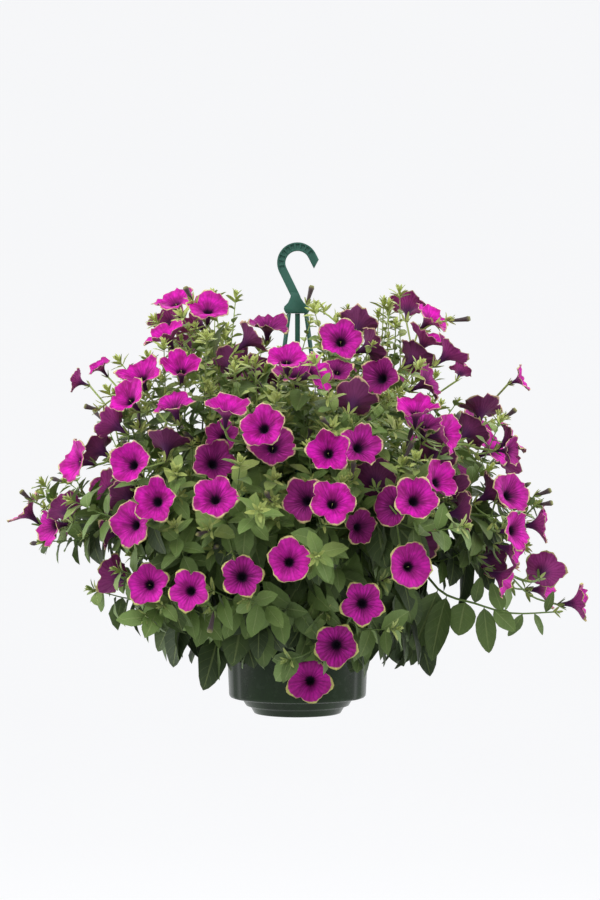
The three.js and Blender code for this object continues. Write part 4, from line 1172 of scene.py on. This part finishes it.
def petal_magenta():
    """A bloom's marks are a place on its flattened face, from -1 to 1 each way, and how faded and
    shaded it is, from 1 to 2 by age and by painted shade deep in the canopy, counted below 0 on the back"""
    graph = Graph("petunia petal", Sheen_Weight=0.05, Sheen_Roughness=0.4, Specular_IOR_Level=0.15)
    marks = graph.node("ShaderNodeAttribute", output=1, attribute_name="marks")
    x, y, side = graph.split(marks)
    radius = (x * x + y * y) ** 0.5
    angle = graph.node("ShaderNodeMath", {0: y, 1: x}, operation="ARCTAN2")
    fade_and_shade = (side.absolute() - 1).between(0, 1)
    patches = graph.noise(90, 3)
    edge_noise = graph.noise(260, 3)
    fine = graph.noise(1500, 2)
    height = graph.split(graph.node("ShaderNodeTexCoord", output=3))[2]
    low = 1 - height.between(-0.42, -0.25)
    outward = {0: x / radius * 3, 1: y / radius * 3, 2: radius * 0.8 + fade_and_shade * 40}
    streaks = graph.noise(3.2, 3, places=graph.node("ShaderNodeCombineXYZ", outward))
    lobe = (angle * 5).cosine()
    # The face is lighter low on the plant, as painted light, and dulls to purple and brown-purple with
    # fading by age and with painted shade deep in the canopy
    base = graph.mix(patches.between(0.3, 0.7), colour("a20078"), colour("e80ec0"))
    # Painted light: the face is painted lighter on blooms low on the plant
    base = graph.mix(low * (1 - fade_and_shade) * 0.35, base, colour("ea3cc8"))
    base = graph.mix(fade_and_shade * 0.35, base, colour("ac309a"))
    base = graph.mix((fade_and_shade - 0.5).between(0, 0.5) * (0.35 + patches * 0.5), base, colour("622048"))
    base = graph.mix(streaks.between(0.52, 0.75) * radius.between(0.2, 0.5) * 0.5, base, colour("e83ccb"))
    # Dark veins run out from a nearly black throat
    veins = ((angle * 12.5 + (edge_noise - 0.5) * 3).sine().absolute() ** 5) * radius.between(0.15, 0.5)
    # Veins and the dark halo round the throat grow stronger with fading and with painted shade
    base = graph.mix(veins * (0.22 + fade_and_shade * 0.3 + low * 0.12), base, colour("76085e"))
    reach = radius + (streaks - 0.5) * 0.7 - lobe * 0.05
    base = graph.mix((1 - reach.between(0.2, 0.62)) * (0.6 + fade_and_shade * 0.5), base, colour("5c064c"))
    near_edge = (radius + (edge_noise - 0.5) * 0.3).between(0.7, 0.97)
    base = graph.mix(near_edge * 0.4, base, colour("98286a"))
    throat = 1 - (radius + (streaks - 0.5) * 0.2).between(0.15, 0.3)
    base = graph.mix(throat, base, colour("170520"))
    # The edge is a narrow uneven band, cream to yellow-green
    wander = (edge_noise - 0.5) * 0.12 + (patches - 0.5) * 0.1 + fade_and_shade * 0.015
    wander = wander + lobe * (0.012 + low * 0.02) + low * 0.008
    edge = (radius + wander).between(0.935, 0.98).maximum(radius.between(0.95, 0.972))
    rim = graph.mix(edge_noise.between(0.35, 0.65), colour("d8b296"), colour("dccf90"))
    rim = graph.mix(low * 0.7, rim, colour("ccd06a"))
    base = graph.mix(edge, base, rim)
    # The back is duller, and darkens to the tube
    behind = graph.mix(veins * 0.4 + streaks.between(0.5, 0.7) * 0.3, colour("b24092"), colour("7c1664"))
    # Faded blooms, and as painted shade the blooms deep in the canopy, have darker brown-purple backs
    behind = graph.mix((fade_and_shade - 0.35).between(0, 0.5) * 0.75, behind, colour("5a2c4c"))
    tube = 1 - (radius + (streaks - 0.5) * 0.3).between(0.12, 0.5)
    behind = graph.mix(tube, behind, colour("431644"))
    behind = graph.mix(edge * 0.8, behind, rim)
    base = graph.mix(side.between(-0.3, 0.1), behind, base)
    return graph.finish(
        Base_Color=base,
        Roughness=0.55 + fine * 0.15,
        Normal=graph.bump(veins * -0.4 + streaks * 0.4 + fine * 0.2, 0.0008, 0.6),
    )


def add_bloom(bm, bloom, key):
    """Each bloom is one of a kind: its petals reach and tilt unevenly, its edge is notched between
    them, pointed at their middles and ruffled, and it fades at random and is painted darker, as
    painted shade, the deeper in the canopy it lies"""
    centre, direction, size = bloom["centre"], bloom["direction"], bloom["size"]
    across = around(direction, 6.28 * chance(key))
    over = np.cross(direction, across)
    heights, radii, sides = (np.array(values, float) for values in zip(*BLOOM_PROFILE))
    a, b, c, d = (6.28 * chance(key + i) for i in range(1, 5))
    cup = 4 * (chance(key + 5) - 0.5)
    reaches = np.array([0.18 * (chance(key + 6 + i) - 0.5) for i in range(PETALS)])
    tilts = np.array([7 * (chance(key + 12 + i) - 0.5) - 1 for i in range(PETALS)])
    inside = canopy_radius(centre[2]) - from_axis(centre)
    # Painted shade: the deeper a bloom lies inside the canopy, the higher this mark, on top of random
    # fading
    fade_and_shade = 1 + min(1, 0.6 * chance(key + 20) ** 2 + clamped((inside - 28) / 70, 0, 0.75))
    narrowing = 0.12 * chance(key + 21)
    notched = 0.1 + 0.15 * chance(key + 22)
    pointed = 0.03 + 0.07 * chance(key + 23)

    def shape(round_share, along):
        row = np.rint(along * (len(heights) - 1)).astype(int)
        theta = 2 * math.pi * round_share
        height, radius = heights[row], radii[row]
        flare = np.clip((radius - TUBE_RADIUS) / (BLOOM_RADIUS - TUBE_RADIUS), 0, 1)
        petal = np.floor(PETALS * round_share + 0.5).astype(int) % PETALS
        off_petal = 2 * np.abs((PETALS * round_share + 0.5) % 1 - 0.5)
        swell = 1 - off_petal**2
        notch = notched * off_petal**2.4 * flare
        point = pointed * np.clip(1 - off_petal * 2, 0, 1) * flare
        waves = 0.014 * (np.sin(13 * theta + a) + np.sin(19 * theta + b)) * flare
        uneven = 0.03 * np.cos(2 * theta + a)
        spread = reaches[petal] * swell - notch + point + waves + uneven - narrowing
        wide = radius * (1 + flare**2 * spread)
        bend = 2.4 * np.cos(2 * theta + c) + 1.4 * np.cos(3 * theta + d) + cup
        ruffle = 1.5 * np.sin(10 * theta + c) + 1.1 * np.sin(15 * theta + d)
        crease = 1.2 * np.clip(1 - off_petal * 3, 0, 1) * flare * (1.4 - flare)
        fold = 2.6 * off_petal**3 * flare**1.5 + crease
        height = height + flare**2 * (bend + tilts[petal] * swell + ruffle) - fold
        ring = across * np.cos(theta)[:, None] + over * np.sin(theta)[:, None]
        places = centre + ring * (wide * size)[:, None] + direction * (height * size)[:, None]
        share = radius / BLOOM_RADIUS
        marks = np.stack([share * np.cos(theta), share * np.sin(theta), sides[row] * fade_and_shade], axis=1)
        return places, marks

    wrapped(bm, PETAL_COLUMNS, len(BLOOM_PROFILE) - 1, shape)


def add_stigma(bm, bloom):
    """The pale tip of the pistil, deep in the throat"""
    centre, direction, size = bloom["centre"], bloom["direction"], bloom["size"]
    line = [centre + direction * height * size for height in (-20, -13, -11.5, -10.6, -10)]
    add_tube(bm, line, [0.3, 0.3, 0.5, 0.55, 0.3], 0.9, 6, kind=1)


def add_calyx(bm, place, direction, size, key):
    """The five narrow sepals at a bloom's foot"""
    for i in range(PETALS):
        out = around(direction, math.radians(72 * i) + 6 * chance(key))
        heading = unit(direction + out * (0.3 + 0.35 * chance(key + i)))
        base, face = place - direction + out * 0.8, out - direction * 0.2
        sepal = leaf_like(base, heading, face, 14 * size, 0.26, -20, key + 10 + i, BRACT_PETIOLE)
        add_leaf(bm, sepal, 0.6 + 0.3 * chance(key + 20 + i), BRACT_SHARES, 4, 0.6, kind=1)


# Furled blooms that stand out from the near sprays: the spray, where the bloom starts, which way
# it points and how long it is
FURLED_BLOOMS = [
    (13, (181, -6, 470), (1, -0.1, 0.02), 26), (1, (-230, -95, 362), (-1, -0.1, 0.12), 17),
    (5, (-92, -206, 137), (-0.2, -0.2, -1), 27), (17, (276, -80, 262), (1, -0.2, 0.25), 20),
    (17, (279, -84, 252), (1, -0.3, 0.0), 18), (0, (-122, -90, 489), (-0.5, -0.2, 0.8), 16),
    (14, (243, -40, 352), (0.8, -0.2, 0.5), 18), (4, (-312, -60, 256), (-0.8, -0.2, 0.6), 16),
    (12, (11, -32, 487), (0.3, 0, 1), 22),
]


def add_furled_bloom(bm, shoot, place, ahead, length, key):
    """A furled bloom on a stalk with tufts, from the nearest place on the spray's own stalks"""
    place, ahead = vec(*place), unit(vec(*ahead))
    spots = [spot for stalk in shoot["stalks"] for spot in stalk]
    start = min(spots, key=lambda spot: apart(spot, place))
    middle = (start + place) / 2 + UP * apart(start, place) * 0.08
    line = smooth_path([start, middle, place])
    add_tube(bm, line, [1.1] * len(line), 0.6, 5, kind=1)
    tufts = int(apart(start, place) / 14)
    for i in range(tufts):
        lean = unit(ahead + around(ahead, 2.4 * i + key))
        add_tuft(bm, on_path(line, (i + 0.5) / tufts) + lean * 6, lean, key + 30 * i, 5, 0.8, kind=1)
    add_bud(bm, place, ahead, length, FURLED_RADII, kind=1)
    add_calyx(bm, place, ahead, 0.8, key)


def make_spray(shoot, petal, green):
    """A spray's stalks, blooms, sepals and tufts. The petals have the first material, and all that
    is green the second."""
    bm = marked_mesh()
    number = shoot["number"]
    for i, (stalk, bloom) in enumerate(zip(shoot["stalks"], shoot["own"])):
        key = 200000 + number * 1000 + i * 50
        line = smooth_path(stalk)
        add_tube(bm, line, taper(line, 1.9 if i == 0 else 1.0, 1.3), 0.6, 5, kind=1)
        add_bloom(bm, bloom, key)
        if chance(key + 30) < STIGMA_SHARE:
            add_stigma(bm, bloom)
        add_calyx(bm, bloom["foot"], bloom["direction"], bloom["size"], key + 10)
        spot = on_path(line, 0.45)
        if min(apart(spot, other["centre"]) for other in blooms) > TUFT_TO_BLOOM:
            add_tuft(bm, spot, unit(line[-1] - line[0]), key + 40, 4, 0.8, kind=1)
    for i, (spray, place, ahead, length) in enumerate(FURLED_BLOOMS):
        if spray == number:
            add_furled_bloom(bm, shoot, place, ahead, length, 195000 + 60 * i)
    node = f"bloom_spray_{number + 1:02d}"
    piece(f"fine_{node}", bm, [petal, green], node)


petal = petal_magenta()
for shoot in shoots:
    make_spray(shoot, petal, green)

# Hanger
# The hook is moulded in dark green plastic with cross ribs round its arc, and widens into a yoke.
# Three thin straps run from under the yoke to barbs that are clipped through the pot's rim.
HOOK_RADIUS = 19.5
HOOK_WIDTH = 10
HOOK_THICKNESS = 7
HOOK_CENTRE = 539.5  # the height of the arc's centre above the pot's foot
HOOK_TIP_ANGLE = 27
HOOK_STEM_ANGLE = 206
HOOK_ARC = math.radians(HOOK_STEM_ANGLE - HOOK_TIP_ANGLE) * HOOK_RADIUS
HOOK_STEM_STOPS = [12, 25, 38]  # along the straight stem below the arc
TIP_STOPS = [-15, -8, 0]
TIP_CUT = 3.5  # the tip is cut to a point on its outer side, by this much at its middle
TIP_SLANT = 0.7
POCKETS = 10  # the recesses between the ribs, on both faces
POCKET_HALF = 2.8
POCKET_DEPTH = 1.5
POCKET_SHARES = (0.16, 0.5, 0.84)  # a pocket's ends and middle, between one rib and the next
YOKE_OUTLINE = [
    (-14, 479), (12.5, 479), (15.5, 484), (11.5, 488.5), (7.5, 492), (4.2, 497), (1.4, 503.5),
    (-7.6, 504.5), (-8.6, 498), (-11.5, 491.5), (-16, 487), (-16.5, 484),
]
YOKE_PROUD = 0.3  # how far the yoke stands out from the hook's flat faces


def hook_place(distance, out, depth):
    """From a place along, across and through the straight hook to the bent one"""
    on_arc = clamped(distance, 0, HOOK_ARC)
    angle = math.radians(HOOK_TIP_ANGLE) + on_arc / HOOK_RADIUS
    outward = Vector((math.cos(angle), 0, math.sin(angle)))
    ahead = Vector((-outward.z, 0, outward.x))
    beyond = distance - on_arc
    centre = Vector((0, 0, HOOK_CENTRE - HOOK_HEIGHT))
    return (centre + outward * (HOOK_RADIUS + out) + ahead * beyond + Vector((0, depth, 0))) * MM


def rounded(bm, offset):
    """Rounds off every sharp edge"""
    edges = [edge for edge in bm.edges if edge.is_manifold and edge.calc_face_angle() > 0.6]
    bmesh.ops.bevel(bm, geom=edges, offset=offset, segments=2, profile=0.5, affect="EDGES", material=-1)


def verts_of(result):
    return [element for element in result["geom"] if isinstance(element, bmesh.types.BMVert)]


def sink_pockets(bm):
    """Sinks the recesses into both faces of the straight hook"""
    starts = [HOOK_ARC * (i + POCKET_SHARES[0]) / POCKETS for i in range(POCKETS)]
    span = HOOK_ARC * (POCKET_SHARES[2] - POCKET_SHARES[0]) / POCKETS
    for side in (-1, 1):
        inside = []
        for face in bm.faces:
            middle = face.calc_center_median()
            on_face = abs(middle.z - side * HOOK_THICKNESS / 2) < 0.01 and abs(middle.y) < 1
            if on_face and any(start < middle.x < start + span for start in starts):
                inside.append(face)
        for vert in verts_of(bmesh.ops.extrude_face_region(bm, geom=inside)):
            vert.co.z -= side * POCKET_DEPTH
        bmesh.ops.delete(bm, geom=inside, context="FACES")


def add_yoke(bm):
    """The yoke: a block that widens to its foot, with the end of the hook in it"""
    yoke = bmesh.new()
    half = HOOK_THICKNESS / 2 + YOKE_PROUD
    verts = [yoke.verts.new((across, -half, height)) for across, height in YOKE_OUTLINE]
    for vert in verts_of(bmesh.ops.extrude_face_region(yoke, geom=[yoke.faces.new(verts)])):
        vert.co.y = half
    bmesh.ops.recalc_face_normals(yoke, faces=yoke.faces)
    rounded(yoke, 0.7)
    for vert in yoke.verts:
        vert.co = Vector((vert.co.x, vert.co.y, vert.co.z - HOOK_HEIGHT)) * MM
    join(bm, yoke)


def make_hook(plastic):
    """The hook is modelled straight, as a strip with pockets, and then bent"""
    bm = bmesh.new()
    stops = list(TIP_STOPS)
    for i in range(POCKETS):
        stops += [HOOK_ARC * (i + share) / POCKETS for share in (*POCKET_SHARES, 1)]
    stops += [HOOK_ARC + stop for stop in HOOK_STEM_STOPS]
    lines = [-HOOK_WIDTH / 2, -POCKET_HALF, POCKET_HALF, HOOK_WIDTH / 2]
    grid = bmesh.ops.create_grid(bm, x_segments=len(stops) - 1, y_segments=len(lines) - 1, size=0.5)
    for vert in grid["verts"]:
        stop = stops[round((vert.co.x + 0.5) * (len(stops) - 1))]
        line = lines[round((vert.co.y + 0.5) * (len(lines) - 1))]
        if stop == stops[0]:
            stop += TIP_CUT + line * TIP_SLANT
        vert.co = (stop, line, -HOOK_THICKNESS / 2)
    for vert in verts_of(bmesh.ops.extrude_face_region(bm, geom=bm.faces[:])):
        vert.co.z = HOOK_THICKNESS / 2
    bmesh.ops.recalc_face_normals(bm, faces=bm.faces)
    sink_pockets(bm)
    rounded(bm, 0.5)
    for vert in bm.verts:
        vert.co = hook_place(vert.co.x, vert.co.y, vert.co.z)
    add_yoke(bm)
    bmesh.ops.recalc_face_normals(bm, faces=bm.faces)
    piece("fine_hook", bm, [plastic], "hanger_hook")


plastic = moulded_plastic("hanger plastic", "285044", "3a6a5c", 0.42)
make_hook(plastic)
for number in (1, 2, 3):
    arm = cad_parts[f"hanger_arm_{number}"]
    arm.data.materials.clear()
    arm.data.materials.append(plastic)

# Studio
# A pale seamless sweep stands well below and behind the basket, under soft light from large
# lamps above and to both sides. The camera looks level along +Y, as the photograph does.
LENS = 90
FLOOR_HALF = 12
FLOOR_FLAT = 6  # the sweep is flat within this radius, and curves up beyond it
FLOOR_CURVE = 6  # a larger one rises more gently
FLOOR_HEIGHT = -1.6
PLANT_MIDDLE = (0, 0, -0.3)  # where the lamps point
LAMP_SIZE = 2
# Each lamp's name, place and power
LAMPS = [
    ("key", (-0.6, -1.9, 2.2), 55), ("left", (-2.5, 0.1, 0.2), 36), ("right", (2.5, 0, 0.2), 36),
    ("back", (0.4, 2.2, 1.6), 40),
]


def pale_paper():
    """Off-white paper that glows a little, so that it stays even behind the plant"""
    graph = Graph("pale paper", Roughness=0.9, Specular_IOR_Level=0.1)
    tone = graph.noise(1.5, 2)
    glow = graph.mix(tone * 0.2, colour("f4f4f5"), colour("f1f1f2"))
    base = graph.mix(tone * 0.2, colour("969799"), colour("909193"))
    return graph.finish(Base_Color=base, Emission_Color=glow, Emission_Strength=0.83)


def make_sweep():
    """The floor, and the wall that it bends up into on all sides"""
    bm = bmesh.new()
    bmesh.ops.create_grid(bm, x_segments=48, y_segments=48, size=FLOOR_HALF)
    for vert in bm.verts:
        vert.co.z = FLOOR_HEIGHT + max(vert.co.xy.length - FLOOR_FLAT, 0) ** 2 / FLOOR_CURVE
    for face in bm.faces:
        face.smooth = True
    mesh = bpy.data.meshes.new("floor")
    bm.to_mesh(mesh)
    bm.free()
    floor = bpy.data.objects.new("floor", mesh)
    bpy.context.scene.collection.objects.link(floor)
    floor.data.materials.append(pale_paper())
    floor.visible_diffuse = False


def soft_light(name, place, power):
    light = bpy.data.lights.new(name, "AREA")
    light.shape = "DISK"
    light.size = LAMP_SIZE
    light.energy = power
    lamp = bpy.data.objects.new(name, light)
    lamp.location = place
    lamp.rotation_euler = (Vector(PLANT_MIDDLE) - Vector(place)).to_track_quat("-Z", "Y").to_euler()
    bpy.context.scene.collection.objects.link(lamp)


def light_studio():
    """The lamps, and a pale world round them"""
    for name, place, power in LAMPS:
        soft_light(name, place, power)
    world = bpy.data.worlds.new("studio")
    world.use_nodes = True
    background = world.node_tree.nodes["Background"]
    background.inputs["Color"].default_value = colour("f4f6f8")
    background.inputs["Strength"].default_value = 0.6
    bpy.context.scene.world = world


def place_camera():
    camera = bpy.data.objects.new("camera", bpy.data.cameras.new("camera"))
    camera.location = (EYE - UP * HOOK_HEIGHT) * MM
    camera.rotation_euler = (math.pi / 2, 0, 0)
    camera.data.lens = LENS
    scene = bpy.context.scene
    scene.collection.objects.link(camera)
    scene.camera = camera
    scene.view_settings.view_transform = "Standard"


make_sweep()
light_studio()
place_camera()
